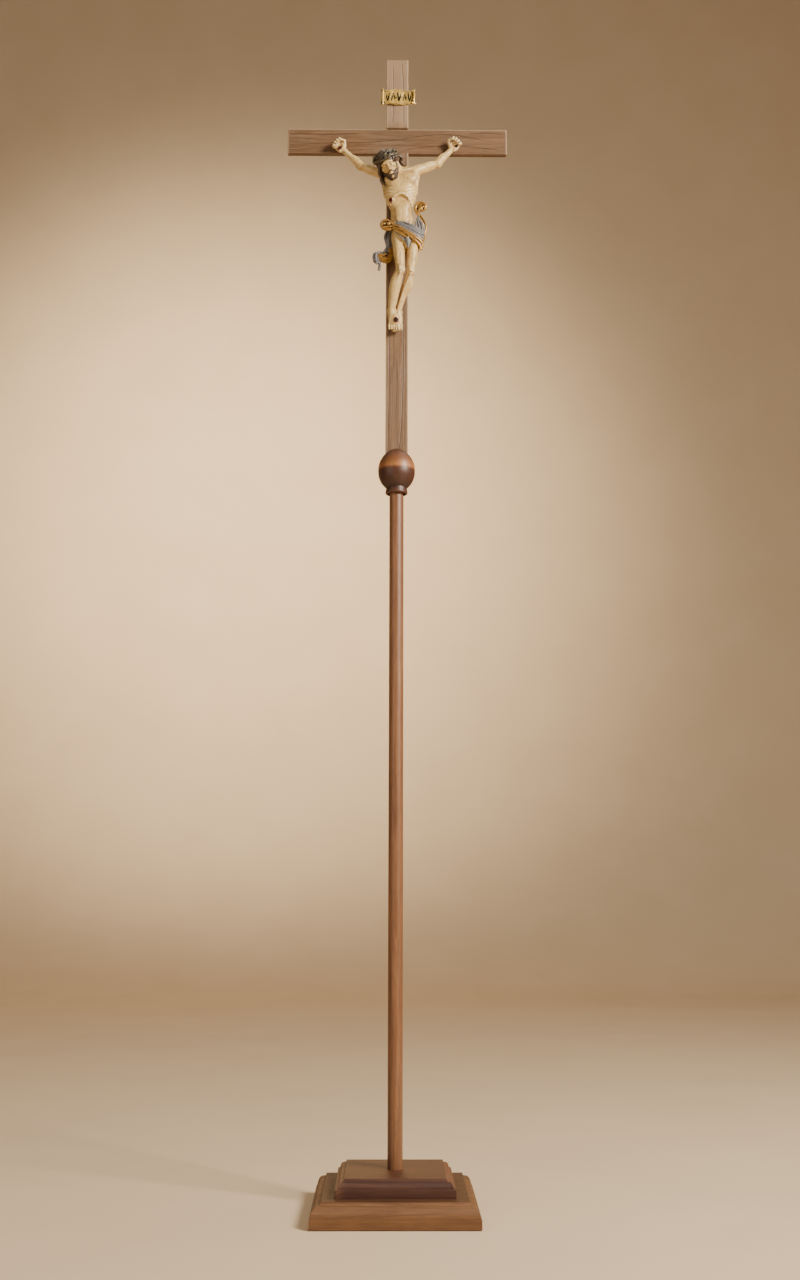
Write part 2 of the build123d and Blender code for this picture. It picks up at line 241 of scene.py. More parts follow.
def smooth_points(points, quads, rounds, share=0.5):
    """Moves each vertex towards the middle of its neighbours, a few times."""
    ends = np.concatenate([quads[:, [i, (i + 1) % 4]] for i in range(4)])
    ends = np.concatenate([ends, ends[:, ::-1]])
    count = np.bincount(ends[:, 0], minlength=len(points))[:, None]
    for _ in range(rounds):
        total = np.stack([np.bincount(ends[:, 0], points[ends[:, 1], i], len(points)) for i in range(3)], 1)
        middle = total / np.maximum(count, 1)
        points = points + share * (middle - points)
    return points


def outward(points, quads):
    """The surface's direction at each vertex."""
    a, b, c, d = (points[quads[:, i]] for i in range(4))
    faces = np.cross(c - a, d - b)
    normal = np.zeros_like(points)
    for i in range(4):
        for axis in range(3):
            normal[:, axis] += np.bincount(quads[:, i], faces[:, axis], len(points))
    return normal / np.maximum(np.linalg.norm(normal, axis=1)[:, None], 1e-9)


def hollows(points, quads, rounds=6, full=0.5):
    """How far each vertex lies below its surroundings: 1 in creases, 0 on ridges, 0.5 on flats."""
    depth = np.einsum("ij,ij->i", smooth_points(points, quads, rounds) - points, outward(points, quads))
    return np.clip(0.5 + depth / full, 0, 1)


def shelter(clay, points, quads, reach=(1.2, 2.4, 4)):
    """How closed in each vertex is by its neighbours, from 0 in the open to 1 in a deep crease; the paints
    darken by it as painted shade.
    """
    normal = outward(points, quads)
    return sum(np.clip(1 - clay.reading(points + r * normal) / r, 0, 1) for r in reach) / len(reach)


def placed(name, data):
    """A new object in the scene."""
    obj = bpy.data.objects.new(name, data)
    bpy.context.scene.collection.objects.link(obj)
    return obj


def mesh_object(name, points, faces, material, replaces, marks):
    """A Blender object from points in millimetres, riding on the cross. marks are values for its material."""
    mesh = bpy.data.meshes.new(name)
    points, faces = np.asarray(points, float) * MM, np.asarray(faces)
    mesh.vertices.add(len(points))
    mesh.vertices.foreach_set("co", points.ravel())
    mesh.loops.add(faces.size)
    mesh.loops.foreach_set("vertex_index", faces.ravel().astype(np.int32))
    mesh.polygons.add(len(faces))
    mesh.polygons.foreach_set("loop_start", np.arange(0, faces.size, faces.shape[1], dtype=np.int32))
    mesh.update(calc_edges=True)
    mesh.polygons.foreach_set("use_smooth", np.full(len(faces), True))
    for mark, values in marks.items():
        layer = mesh.attributes.new(mark, "FLOAT", "POINT")
        layer.data.foreach_set("value", np.asarray(values, np.float32))
    mesh.materials.append(material)
    obj = placed(name, mesh)
    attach(obj, "cross")
    if replaces:
        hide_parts(*replaces)


def clay_object(name, clay, material, replaces, reach, blood=None):
    """Skins clay. reach is hollows()' rounds and depth, and blood a rule that says where it is red."""
    points, quads = clay.skin()
    points = smooth_points(points, quads, 1)
    # crease drives the painted shade in the creases, and hollow the lighter ridges
    values = {"hollow": hollows(points, quads, *reach), "crease": shelter(clay, points, quads)}
    if blood:
        values["blood"] = blood(points)
    mesh_object(name, points, quads, material, replaces, values)


# ------------------------------------------------------------------ materials
class Paint:
    """A material's node tree with short names for what the materials below use."""

    def __init__(self, name):
        self.material = bpy.data.materials.new(name)
        self.material.use_nodes = True
        self.tree = self.material.node_tree
        self.shader = self.tree.nodes["Principled BSDF"]
        self.place = self.node("ShaderNodeTexCoord").outputs["Object"]

    def node(self, kind, **settings):
        made = self.tree.nodes.new(kind)
        for key, value in settings.items():
            setattr(made, key, value)
        return made

    def link(self, source, target):
        self.tree.links.new(source, target)

    def stretched(self, scale, turn=(0, 0, 0), source=None):
        mapping = self.node("ShaderNodeMapping")
        mapping.inputs["Scale"].default_value = scale
        mapping.inputs["Rotation"].default_value = turn
        self.link(source or self.place, mapping.inputs["Vector"])
        return mapping.outputs["Vector"]

    def noise(self, scale, detail=4, rough=0.5, warp=0, source=None):
        made = self.node("ShaderNodeTexNoise")
        made.inputs["Scale"].default_value = scale
        made.inputs["Detail"].default_value = detail
        made.inputs["Roughness"].default_value = rough
        made.inputs["Distortion"].default_value = warp
        self.link(source or self.place, made.inputs["Vector"])
        return made.outputs["Fac"]

    def axes(self):
        """The object's x, y and z, in metres."""
        split = self.node("ShaderNodeSeparateXYZ")
        self.link(self.place, split.inputs[0])
        return split.outputs

    def fibres(self, along, thin):
        """A stretched space in which noise runs along one axis like wood fibres."""
        return self.stretched(tuple(thin if axis == along else 1 for axis in range(3)))

    def times(self, a, b):
        return self.sum(a, b, "MULTIPLY")

    def tint(self, share, colour, by):
        return self.mix(share, colour, by, "MULTIPLY")

    def mark(self, name):
        return self.node("ShaderNodeAttribute", attribute_name=name).outputs["Fac"]

    def steps(self, source, stops):
        """A ramp: stops are (place, colour or grey)."""
        ramp = self.node("ShaderNodeValToRGB")
        self.link(source, ramp.inputs["Fac"])
        elements = ramp.color_ramp.elements
        while len(elements) < len(stops):
            elements.new(0.5)
        for element, (place, colour) in zip(elements, stops):
            element.position = place
            grey = isinstance(colour, (int, float))
            element.color = (colour, colour, colour, 1) if grey else (*colour, 1)
        return ramp.outputs["Color"]

    def mix(self, share, a, b, mode="MIX"):
        made = self.node("ShaderNodeMix", data_type="RGBA", blend_type=mode)
        for value, socket in ((share, made.inputs[0]), (a, made.inputs[6]), (b, made.inputs[7])):
            if isinstance(value, (int, float)):
                socket.default_value = value
            elif isinstance(value, tuple):
                socket.default_value = (*value, 1)
            else:
                self.link(value, socket)
        return made.outputs[2]

    def sum(self, a, b, mode="ADD", clamp=False):
        made = self.node("ShaderNodeMath", operation=mode, use_clamp=clamp)
        for value, socket in ((a, made.inputs[0]), (b, made.inputs[1])):
            if isinstance(value, (int, float)):
                socket.default_value = value
            else:
                self.link(value, socket)
        return made.outputs[0]

    def finish(self, colour, rough, height=None, depth=0.0002, **sockets):
        self.link(colour, self.shader.inputs["Base Color"])
        if isinstance(rough, (int, float)):
            self.shader.inputs["Roughness"].default_value = rough
        else:
            self.link(rough, self.shader.inputs["Roughness"])
        if height is not None:
            bump = self.node("ShaderNodeBump")
            bump.inputs["Distance"].default_value = depth
            self.link(height, bump.inputs["Height"])
            self.link(bump.outputs["Normal"], self.shader.inputs["Normal"])
        for name, value in sockets.items():
            self.shader.inputs[name.replace("_", " ")].default_value = value
        return self.material


def painted_shade_on_top(paint, colour, shelf):
    """Paints shade over the flat top of a moulding, from just under the height of that shelf, by darkening
    its colour.
    """
    z = paint.axes()[2]
    above = paint.times(paint.sum(z, shelf * MM, "SUBTRACT"), 1 / MM)
    share = paint.steps(paint.sum(above, 1), ((0.3, 0), (0.8, 1)))
    return paint.mix(share, colour, (0.5, 0.42, 0.36), "MULTIPLY")


def wood(name, dark, mid, light, along, grain=90, gloss=0.45, coat=0, shelf=None, depth=0.00012):
    """Grained wood. along is the axis that the fibres follow: 0, 1 or 2."""
    paint = Paint(name)
    fibres = paint.fibres(along, 0.05)
    fine = paint.noise(grain * 12, 6, 0.65, 0.2, fibres)
    bands = paint.noise(grain, 5, 0.6, 1.2, fibres)
    cloud = paint.noise(9, 3, 0.5)
    colour = paint.steps(bands, ((0.3, dark), (0.52, mid), (0.75, light)))
    colour = paint.tint(0.55, colour, paint.steps(fine, ((0.3, 0.3), (0.62, 1))))
    colour = paint.tint(0.35, colour, paint.steps(cloud, ((0.3, 0.55), (0.7, 1))))
    # painted shade over the top of the moulding, from the shelf's height up
    if shelf:
        colour = painted_shade_on_top(paint, colour, shelf)
    rough = paint.steps(fine, ((0.3, gloss + 0.12), (0.7, gloss - 0.05)))
    return paint.finish(colour, rough, paint.sum(fine, bands), depth, Coat_Weight=coat, Coat_Roughness=0.4)


# ------------------------------------------------------------------ camera, lights and floor
def stage_scene():
    camera = bpy.data.cameras.new("camera")
    camera.sensor_fit = "VERTICAL"
    camera.sensor_height = 36
    camera.lens = 40.03
    pitch, yaw, roll = 0.1716, 0.01, 0.0018
    ahead = vec(math.sin(yaw) * math.cos(pitch), math.cos(yaw) * math.cos(pitch), math.sin(pitch))
    right = vec(math.cos(yaw), -math.sin(yaw), 0)
    above = np.cross(right, ahead)
    right2 = right * math.cos(roll) + above * math.sin(roll)
    above2 = -right * math.sin(roll) + above * math.cos(roll)
    seat = placed("camera", camera)
    turn = Matrix((Vector(right2), Vector(above2), Vector(-ahead))).transposed().to_4x4()
    seat.matrix_world = Matrix.Translation(Vector((-0.0199, -2.7375, 0.5848))) @ turn
    bpy.context.scene.camera = seat

    for name, place, size, power, colour in (
        ("key", (2.7, -2.1, 2.9), 1.1, 300, (1, 0.91, 0.77)),
        ("fill", (-2.6, -2.8, 1.7), 2.4, 40, (1, 0.88, 0.72)),
        ("top", (0.3, 0.7, 3.7), 1.6, 22, (1, 0.91, 0.78)),
    ):
        lamp = bpy.data.lights.new(name, "AREA")
        lamp.size, lamp.energy, lamp.color = size, power, colour
        light = placed(name, lamp)
        light.location = place
        aim = Vector((0, 0, 1.3)) - Vector(place)
        light.rotation_euler = aim.to_track_quat("-Z", "Y").to_euler()
    glow = bpy.data.lights.new("glow", "SPOT")
    glow.energy, glow.color, glow.spot_size, glow.spot_blend = 1700, (1, 0.8, 0.56), 1.35, 1
    glow.shadow_soft_size = 0.5
    wash = placed("glow", glow)
    wash.location = (-1.1, 2.2, 3.6)
    wash.rotation_euler = (Vector((-1, 6.5, 3)) - wash.location).to_track_quat("-Z", "Y").to_euler()

    world = bpy.data.worlds.new("studio")
    bpy.context.scene.world = world
    world.use_nodes = True
    sky = world.node_tree.nodes["Background"].inputs
    sky["Color"].default_value = (0.62, 0.45, 0.3, 1)
    sky["Strength"].default_value = 0.27

    paper = Paint("studio_paper")
    tone = paper.steps(paper.noise(3, 2), ((0.3, (0.72, 0.57, 0.39)), (0.7, (0.75, 0.6, 0.42))))
    paper.finish(tone, 0.8)
    # a floor that curves up into a wall
    half, back, radius, wall = 8, 5, 1.5, 8
    bends = [math.radians(degrees) for degrees in range(5, 91, 5)]
    profile = [(-half, 0), (back, 0)]
    profile += [(back + radius * math.sin(a), radius * (1 - math.cos(a))) for a in bends]
    profile.append((back + radius, wall))
    points = [(x, y, z) for x in (-half, half) for y, z in profile]
    count = len(profile)
    faces = [(i, count + i, count + i + 1, i + 1) for i in range(count - 1)]
    mesh = bpy.data.meshes.new("floor")
    mesh.from_pydata(points, [], faces)
    mesh.materials.append(paper.material)
    floor = placed("floor", mesh)
    for polygon in mesh.polygons:
        polygon.use_smooth = True


stage_scene()


# ------------------------------------------------------------------ figure: skin
# the figure hangs a little to the viewer's right of the upright's middle
HANG = vec(2, 0, 0)
UPRIGHT_FACE, BAR_FACE = -10, -5
RIB_DEPTH, RIB_PITCH = 0.34, 7.6


def skin_clay():
    clay = Clay((-142, -80, 1676), (142, -3, 2120), 0.7)
    torso(clay)
    neck(clay)
    legs(clay)
    feet(clay)
    for side in (-1, 1):
        arm(clay, side)
        hand(clay, side)
    details(clay)
    # trimmed flat where it lies on the upright and on the bar
    clay.carve(slab((-30, UPRIGHT_FACE - GAP, 1600), (30, 60, 2070)), 0.3)
    clay.carve(slab((-200, BAR_FACE - GAP, 2060), (200, 60, 2200)), 0.3)
    clay.low = clay.low + HANG
    return clay


def torso(clay):
    clay.add(egg((15, -31, 1884), (28, 18.5, 30), (-0.1, 0, 1)), 4)
    clay.add(egg((7.5, -31, 1922), (22.5, 15.5, 42), (-0.1, 0.02, 1)), 7)
    clay.add(egg((4.5, -35, 1976), (32, 20.5, 44), (-0.02, 0.05, 1)), 8)
    clay.add(rod((-24, -30, 2013), (30, -30, 2020), 13), 9)
    # the back, which rests on the board
    clay.add(egg((4.5, -23, 1996), (21, 15.5, 32)), 6)
    clay.add(egg((7, -22.5, 1889), (21, 16, 26)), 6)
    # breast muscles and the hollow between them
    clay.add(egg((-12, -46, 2000), (17, 8, 12.5), (0.25, 0.3, 1), (0.1, -1, 0.25)), 7)
    clay.add(egg((20, -46, 2004), (17, 8, 12.5), (-0.25, 0.3, 1), (-0.1, -1, 0.25)), 7)
    clay.line([(4, -59.5, 2018, 2.2), (4, -59, 1984, 2.4)], 5, True)
    clay.line([(-26, -50, 1990, 1), (-14, -57, 1986, 1.2), (1, -58, 1984, 1)], 4, True)
    clay.line([(8, -58, 1985, 1), (22, -57, 1989, 1.2), (34, -49, 1995, 1)], 4, True)
    # the arch of the lowest ribs, with the sunken belly under it
    clay.carve(egg((6, -61, 1940), (18, 11, 26), (-0.05, 0.18, 1)), 8)
    arch = [(-16, -45, 1946), (-13, -48.5, 1955), (-6, -52.5, 1962.5), (3, -54.6, 1966.5), (9, -54.6, 1966.5),
            (17, -52.2, 1962), (25, -47, 1954), (28.5, -42, 1946)]
    clay.line([(*p, r) for p, r in zip(arch, (0.8, 1.4, 2, 2.4, 2.4, 2.1, 1.5, 0.8))], 4.5)
    clay.line([(x, y + 0.6, z - 5.5, 1.4) for x, y, z in arch[2:-2]], 5, True)
    # belly muscles, navel and groin
    clay.add(egg((7, -44, 1932), (12, 5, 23)), 6)
    clay.line([(6.5, -51.8, 1950, 0.6), (7.5, -51.2, 1924, 0.6)], 3.5, True)
    clay.carve(egg((7.5, -50.5, 1918), (1.5, 2.8, 2.4)), 1.4)
    clay.add(egg((9, -42.5, 1908), (17, 6, 13)), 6)
    clay.line([(-13, -39.5, 1925, 0.8), (-7, -45.5, 1914, 1), (-1, -48.5, 1906, 0.9)], 4, True)
    clay.line([(29, -39.5, 1925, 0.8), (24, -45.5, 1914, 1), (18, -48.5, 1906, 0.9)], 4, True)
    # collar bones and the slopes up to the neck
    clay.add(rod((0, -29, 2033), (-26, -29, 2024), 6, 8), 7)
    clay.add(rod((5, -29, 2031), (32, -29, 2029), 7, 8.5), 8)
    clay.line([(-1, -42, 2024, 1.6), (-14, -42, 2026, 1.5), (-28, -35, 2027, 1.8)], 4)
    clay.line([(8, -42, 2023, 1.6), (20, -42.5, 2026, 1.5), (33, -36, 2031, 1.8)], 4)
    clay.line([(10, -45.5, 2017, 1.2), (24, -45.5, 2020, 1.2)], 5, True)
    # the muscle under each armpit
    clay.add(rod((36, -30, 2012), (34.5, -30, 1978), 6.5, 4.5), 6)
    clay.add(rod((-29, -30, 2006), (-25, -30, 1974), 6.5, 4.5), 6)
    clay.press((-40, -70, 1926), (48, -16, 2000), ribs)


def ribs(x, y, z):
    """Soft ribs along both flanks, fading towards the breast and the belly."""
    out = np.abs(x - 4)
    flank = np.clip((out - 9) / 9, 0, 1)
    height = np.clip((z - 1934 - 0.5 * (24 - out)) / 9, 0, 1) * np.clip((1995 - z) / 9, 0, 1)
    return RIB_DEPTH * flank * height * np.cos(2 * math.pi * (z - 0.42 * out) / RIB_PITCH) + 0 * y


def neck(clay):
    clay.add(rod((-1, -31, 2027), (-14, -47, 2022), 12, 11), 5)
    clay.line([(6, -42, 2024, 1.8), (3, -45, 2031, 2.2), (-3, -50, 2037, 2.4)], 3)


SHOULDER = {-1: vec(-30, -29, 2020), 1: vec(34, -29, 2027.5)}
ELBOW = {-1: vec(-76.5, -20, 2043.5), 1: vec(80.5, -20, 2051)}
WRIST = {-1: vec(-110.5, -12.5, 2081), 1: vec(107.5, -12.5, 2083.5)}


def arm(clay, side):
    shoulder, elbow, wrist = SHOULDER[side], ELBOW[side], WRIST[side]
    upper, lower = elbow - shoulder, wrist - elbow
    clay.add(rod(shoulder, elbow, 9, 7.4), 5)
    clay.add(egg(shoulder + 0.16 * upper + (0, -1, 1.5), (9.5, 9.5, 15), upper), 4)
    clay.add(egg(shoulder + 0.56 * upper + (0, -2.2, 1.6), (7.6, 6.6, 17), upper), 3)
    clay.add(egg(shoulder + 0.56 * upper + (0, 1.5, -3), (6.6, 6.6, 18), upper), 3)
    clay.add(rod(elbow + (side * 1, 1, -1.5), elbow + 0.12 * lower, 7.6, 8.2), 3)
    clay.add(egg(elbow + 0.3 * lower + (side * -0.6, -1.6, 1), (7.8, 6.8, 17), lower), 3)
    clay.add(rod(elbow, wrist, 7.6, 5.2), 3)
    clay.add(rod(wrist - 0.35 * lower, wrist, 5.2, 5), 2)
    # tendons on the inside of the wrist and the vein over the forearm
    across = unit(np.cross(unit(lower), (0, 1, 0)))
    for offset in (-1.4, 1.4):
        start = wrist - 0.42 * lower + across * offset + (0, -5.8, 0)
        clay.add(rod(start, wrist + across * offset * 0.8 + (0, -4.6, 0), 0.7, 0.8), 1)


def hand(clay, side):
    """A hand nailed through the palm, its fingers curled towards the viewer."""
    wrist = WRIST[side]
    up = unit((0.6, -0.06, 0.8)) if side > 0 else unit((-0.74, -0.06, 0.67))
    out = unit(vec(0, -1, 0) - up * (vec(0, -1, 0) @ up))
    thumbward = np.cross(up, out) * side * -1
    clay.add(rod(wrist, wrist + 7 * up, 5.2, 5.6), 2)
    clay.add(egg(wrist + 13 * up, (10.4, 4.4, 12), up, out), 3)
    clay.add(egg(wrist + 9.5 * up + 6.2 * thumbward + 2.2 * out, (4, 3.8, 7.4), up + 0.4 * thumbward, out), 2)
    clay.add(egg(wrist + 10.5 * up - 6.2 * thumbward + 1.8 * out, (3.4, 3.2, 8), up, out), 2)
    clay.carve(egg(wrist + 14.5 * up + 5 * out, (5, 2.4, 5.6), up, out), 2)
    for finger in range(4):
        spread = 7.6 - 5 * finger
        reach = (7.6, 8, 7.4, 6.2)[finger]
        root = wrist + (19 + 0.7 * min(finger, 3 - finger)) * up + spread * thumbward + 0.4 * out
        fan = (0.34, 0.1, -0.1, -0.34)[finger]
        first = root + reach * unit(0.74 * up + 0.58 * out + fan * thumbward)
        second = first + 0.74 * reach * unit(-0.18 * up + 0.98 * out - 0.5 * fan * thumbward)
        third = second + 0.58 * reach * unit(-0.97 * up + 0.12 * out - 0.4 * fan * thumbward)
        clay.line([(*root, 2.7), (*first, 2.5)], 1.2)
        clay.line([(*first, 2.6), (*second, 2.35), (*third, 1.95)], 0.5)
        clay.add(egg(third + 1.5 * out - 0.6 * up, (1.2, 0.6, 1.6), up, out), 0.3)
        clay.carve(rod(root + 2.6 * thumbward + 2.4 * out, root + 2.6 * thumbward - 5 * up + 2.8 * out, 0.4),
            1)
    root = wrist + 8 * up + 8 * thumbward + 1.5 * out
    joint = root + 9.5 * unit(0.62 * up + 0.66 * thumbward + 0.36 * out)
    tip = joint + 8 * unit(0.88 * up - 0.42 * thumbward + 0.36 * out)
    clay.line([(*root, 3.5), (*joint, 2.8), (*tip, 2.2)], 1.2)
    # the lines of the palm
    clay.line([(*(wrist + 8 * up + 3 * thumbward + 6 * out), 0.5),
        (*(wrist + 15 * up + 4.5 * thumbward + 4.6 * out), 0.4),
        (*(wrist + 19 * up + 8 * thumbward + 4.4 * out), 0.4)], 0.9, True)


HIP = {-1: vec(-1, -32, 1878), 1: vec(32.5, -32, 1878)}
KNEE = {-1: vec(4.5, -48, 1807), 1: vec(25, -43, 1806)}
ANKLE = {-1: vec(-13, -30, 1727), 1: vec(0, -20.5, 1727)}


def legs(clay):
    for side, thick in ((1, 0.86), (-1, 1)):
        hip, knee, ankle = HIP[side], KNEE[side], ANKLE[side]
        thigh, shin = knee - hip, ankle - knee
        bulge = 1 if side < 0 else 0.92
        clay.add(rod(hip, knee, 12.5 if side < 0 else 14, 8.8 * thick), 3)
        clay.add(egg(hip + 0.45 * thigh + (0, -3, 0), (11.2 * bulge, 12 * bulge, 34), thigh), 3)
        clay.add(egg(hip + 0.74 * thigh + (side * -2.6, -3.5, 0), (6.4 * thick, 7 * thick, 17), thigh), 3)
        clay.add(egg(hip + 0.72 * thigh + (side * 3, -3.5, 3), (6 * thick, 6.6 * thick, 18), thigh), 3)
        clay.add(egg(knee + (0, -2, -1), (8 * thick, 8.6 * thick, 9.5)), 3)
        clay.add(egg(knee + (0, -7.8, -1), (4.8 * thick, 3.6, 5.4)), 1.8)
        clay.add(egg(knee + (0, -8, -9), (2.6, 2.2, 3)), 2)
        clay.add(rod(knee, ankle, 8.2 * thick, 6), 3)
        if side < 0:
            clay.add(egg((-6, -41, 1779), (10, 9.5, 27), shin), 6)
            clay.add(egg((-9, -38, 1768), (7.6, 8, 30), shin), 6)
            clay.add(egg((-10, -34, 1748), (6.6, 7, 26), shin), 6)
        else:
            clay.add(egg((19.5, -34, 1779), (9.2, 8.6, 24), shin), 4)
            clay.add(egg((22.5, -35, 1781), (6, 7, 17), shin), 4)
        # the edge of the shin bone
        clay.line([(*(knee + (0, -7.6, -9)), 1.5), (*(knee + 0.5 * shin + (-0.6, -6.6, 0)), 1.5),
            (*(ankle + (0, -4.8, 6)), 1.4)], 2.4)
        # the hollows at both sides of the kneecap
        for lean in (-1, 1):
            clay.carve(egg(knee + (lean * 6.6 * thick, -9, 0), (2, 2.6, 6)), 3)
        clay.line([(*(hip + 0.55 * thigh + (side * -1, -15, 0)), 0.8),
            (*(knee + (side * 1.5, -12, 14)), 0.8)], 4, True)


# ankle, heel drop, middle of the toe roots, and how wide the fan of toes is
FEET = {1: (vec(-0.5, -20.5, 1694), 6.5, 3.9), -1: (vec(-8.5, -31, 1692.5), 9, 4.6)}


def feet(clay):
    """The left foot crosses over the right one, and one nail holds both."""
    for side in (1, -1):
        ankle = ANKLE[side]
        toes_at, rise, gap = FEET[side]
        down = unit(toes_at - ankle)
        front = unit(vec(0, -1, 0) - down * (vec(0, -1, 0) @ down))
        across = np.cross(front, down)
        across = across * np.sign(across[0])
        clay.add(rod(ankle, ankle + 6 * down, 6.2, 6.6), 3)
        clay.add(egg(ankle + (-1, 0.72 * rise, -9), (6.2, 6, 8)), 4)
        clay.add(egg(ankle + 0.45 * (toes_at - ankle) + (0, 1, 0), (9.4, 6.6, 19), down, front), 4)
        clay.add(egg(toes_at - 4 * down + (0, 1.5, 0), (2.5 * gap, 5, 9), down, front), 4)
        clay.add(egg(ankle + (-6.2, 1, -1), (3, 3.2, 3.8)), 3)
        clay.add(egg(ankle + (6.2, 2, 0.5), (3, 3.2, 3.8)), 3)
        # the heel behind and the instep in front, which the nail goes through
        clay.add(egg((-4.5, -19, 1706), (8, 9.5, 11)), 3)
        clay.add(egg((-4.5, -31.5, 1706), (7, 6.2, 12)), 3)
        for toe in range(5):
            inner = toe if side < 0 else 4 - toe
            size = (2, 2.1, 2.2, 2.3, 2.9)[inner] * gap / 4.4
            length = (6.4, 7.6, 8.6, 9.4, 9.6)[inner]
            sideways = gap * (toe - 2) * across
            knuckle = toes_at + sideways - (1.5 + 0.5 * (2 - abs(toe - 2))) * down + 1.2 * front
            middle = knuckle + 0.5 * length * unit(down + 0.45 * front)
            tip = middle + 0.5 * length * unit(down - 0.35 * front)
            clay.line([(*knuckle, size), (*middle, size * 1.05), (*tip, size * 0.95)], 0.7)
            # the tendon that runs up from each toe, and the nail on its tip
            foot = ankle + 0.28 * (toes_at - ankle) + 5 * front + 0.35 * gap * (toe - 2) * across
            clay.line([(*(knuckle + 0.5 * front), 1), (*foot, 0.6)], 1.4)
            clay.add(egg(tip + (size - 0.35) * front - 0.6 * down, (0.62 * size, 0.6, 0.8 * size), down,
                front), 0.25)


WOUND = vec(-15.5, -50, 1956)


def details(clay):
    for side, lift in ((-1, 0), (1, 4)):
        clay.carve(egg(vec(3 + side * 16.5, -57.2, 1997 + lift), (1.9, 1.2, 1.9)), 0.8)
        clay.add(egg(vec(3 + side * 16.5, -56, 1997 + lift), (0.9, 1.4, 0.9)), 0.6)
    clay.carve(egg(WOUND, (1.2, 7, 3.6), (-0.45, 0, 1)), 0.6)


def near(points, centre, radius, soft=1):
    """1 within radius of centre, fading to 0 over soft."""
    away = np.linalg.norm(points - np.asarray(centre), axis=1)
    return np.clip((radius + soft - away) / soft, 0, 1)


def blood(points):
    rng = np.random.default_rng(7)
    jitter = points - HANG + rng.normal(0, 0.25, points.shape)
    value = near(jitter, vec(-120.5, -17, 2086.5), 4.2, 1.2)
    value = np.maximum(value, near(jitter, vec(-123, -17, 2084), 3, 1.4))
    value = np.maximum(value, near(jitter, vec(119.7, -17, 2091), 3, 1.4))
    value = np.maximum(value, near(jitter, vec(-3.8, -38, 1704), 5.4, 1.6))
    value = np.maximum(value, near(jitter, WOUND + vec(0, 2, 0), 4.2, 1.2))
    value = np.maximum(value, 0.8 * near(jitter, WOUND + vec(1.5, 2, -6), 1.6, 1.5))
    for place in ((4.5, -60, 1800), (25.5, -53, 1799), (21, -46, 1772)):
        value = np.maximum(value, 0.6 * near(jitter, place, 1.8, 1.4))
    return value


def skin_material():
    paint = Paint("painted_skin")
    hollow = paint.mark("hollow")
    cloud = paint.noise(55, 4, 0.55)
    fine = paint.noise(420, 3, 0.5)
    colour = paint.steps(cloud, ((0.3, (0.45, 0.27, 0.085)), (0.48, (0.63, 0.43, 0.155)),
        (0.72, (0.76, 0.57, 0.245))))
    # darker brown in the creases: painted shade, with dark patina
    crease = paint.sum(paint.mark("crease"), paint.times(cloud, 0.4))
    colour = paint.mix(paint.steps(crease, ((0.26, 0), (0.8, 0.9))), colour, (0.25, 0.125, 0.045))
    wash = paint.steps(paint.noise(210, 5, 0.7), ((0.47, 0), (0.7, 0.6)))
    colour = paint.mix(wash, colour, (0.36, 0.195, 0.062))
    # lighter on the ridges: rubbed paint, with a painted highlight
    colour = paint.mix(paint.steps(hollow, ((0.2, 0.6), (0.44, 0))), colour, (0.9, 0.73, 0.39))
    specks = paint.steps(paint.noise(900, 2, 0.6), ((0.66, 0), (0.74, 0.5)))
    colour = paint.mix(specks, colour, (0.45, 0.29, 0.15))
    wound = paint.steps(paint.mark("blood"), ((0.35, 0), (0.65, 1)))
    colour = paint.mix(wound, colour, (0.16, 0.015, 0.01))
    rough = paint.steps(cloud, ((0.3, 0.5), (0.7, 0.38)))
    return paint.finish(colour, rough, fine, 0.00008, Coat_Weight=0.12, Coat_Roughness=0.35)


PAINTED_SKIN = skin_material()
FLESH = ("corpus_trunk", "corpus_arm_left", "corpus_arm_right", "shoulder_dowels")
clay_object("corpus_skin", skin_clay(), PAINTED_SKIN, FLESH, (10, 0.5), blood)


# ------------------------------------------------------------------ head: a plain ideal face
SKULL = vec(-19, -61, 2026.2)
HEAD_SIZE = 1.1
HEAD_UP = unit((-0.43, -0.385, 0.815))
HEAD_FRONT = unit(vec(-0.04, -0.88, -0.46) - HEAD_UP * (vec(-0.04, -0.88, -0.46) @ HEAD_UP))
HEAD_RIGHT = np.cross(HEAD_UP, HEAD_FRONT)


def at(across, front, up):
    """A point of the head: viewer's right, towards the face, and up, from the level of the eyes."""
    return SKULL + HEAD_SIZE * (across * HEAD_RIGHT + front * HEAD_FRONT + up * HEAD_UP)


def head_egg(across, front, up, radii):
    return egg(at(across, front, up), HEAD_SIZE * vec(*radii), HEAD_UP, HEAD_FRONT)


def head_line(clay, points, blend, carve=False):
    clay.line([(*at(*p[:3]), HEAD_SIZE * p[3]) for p in points], blend, carve)


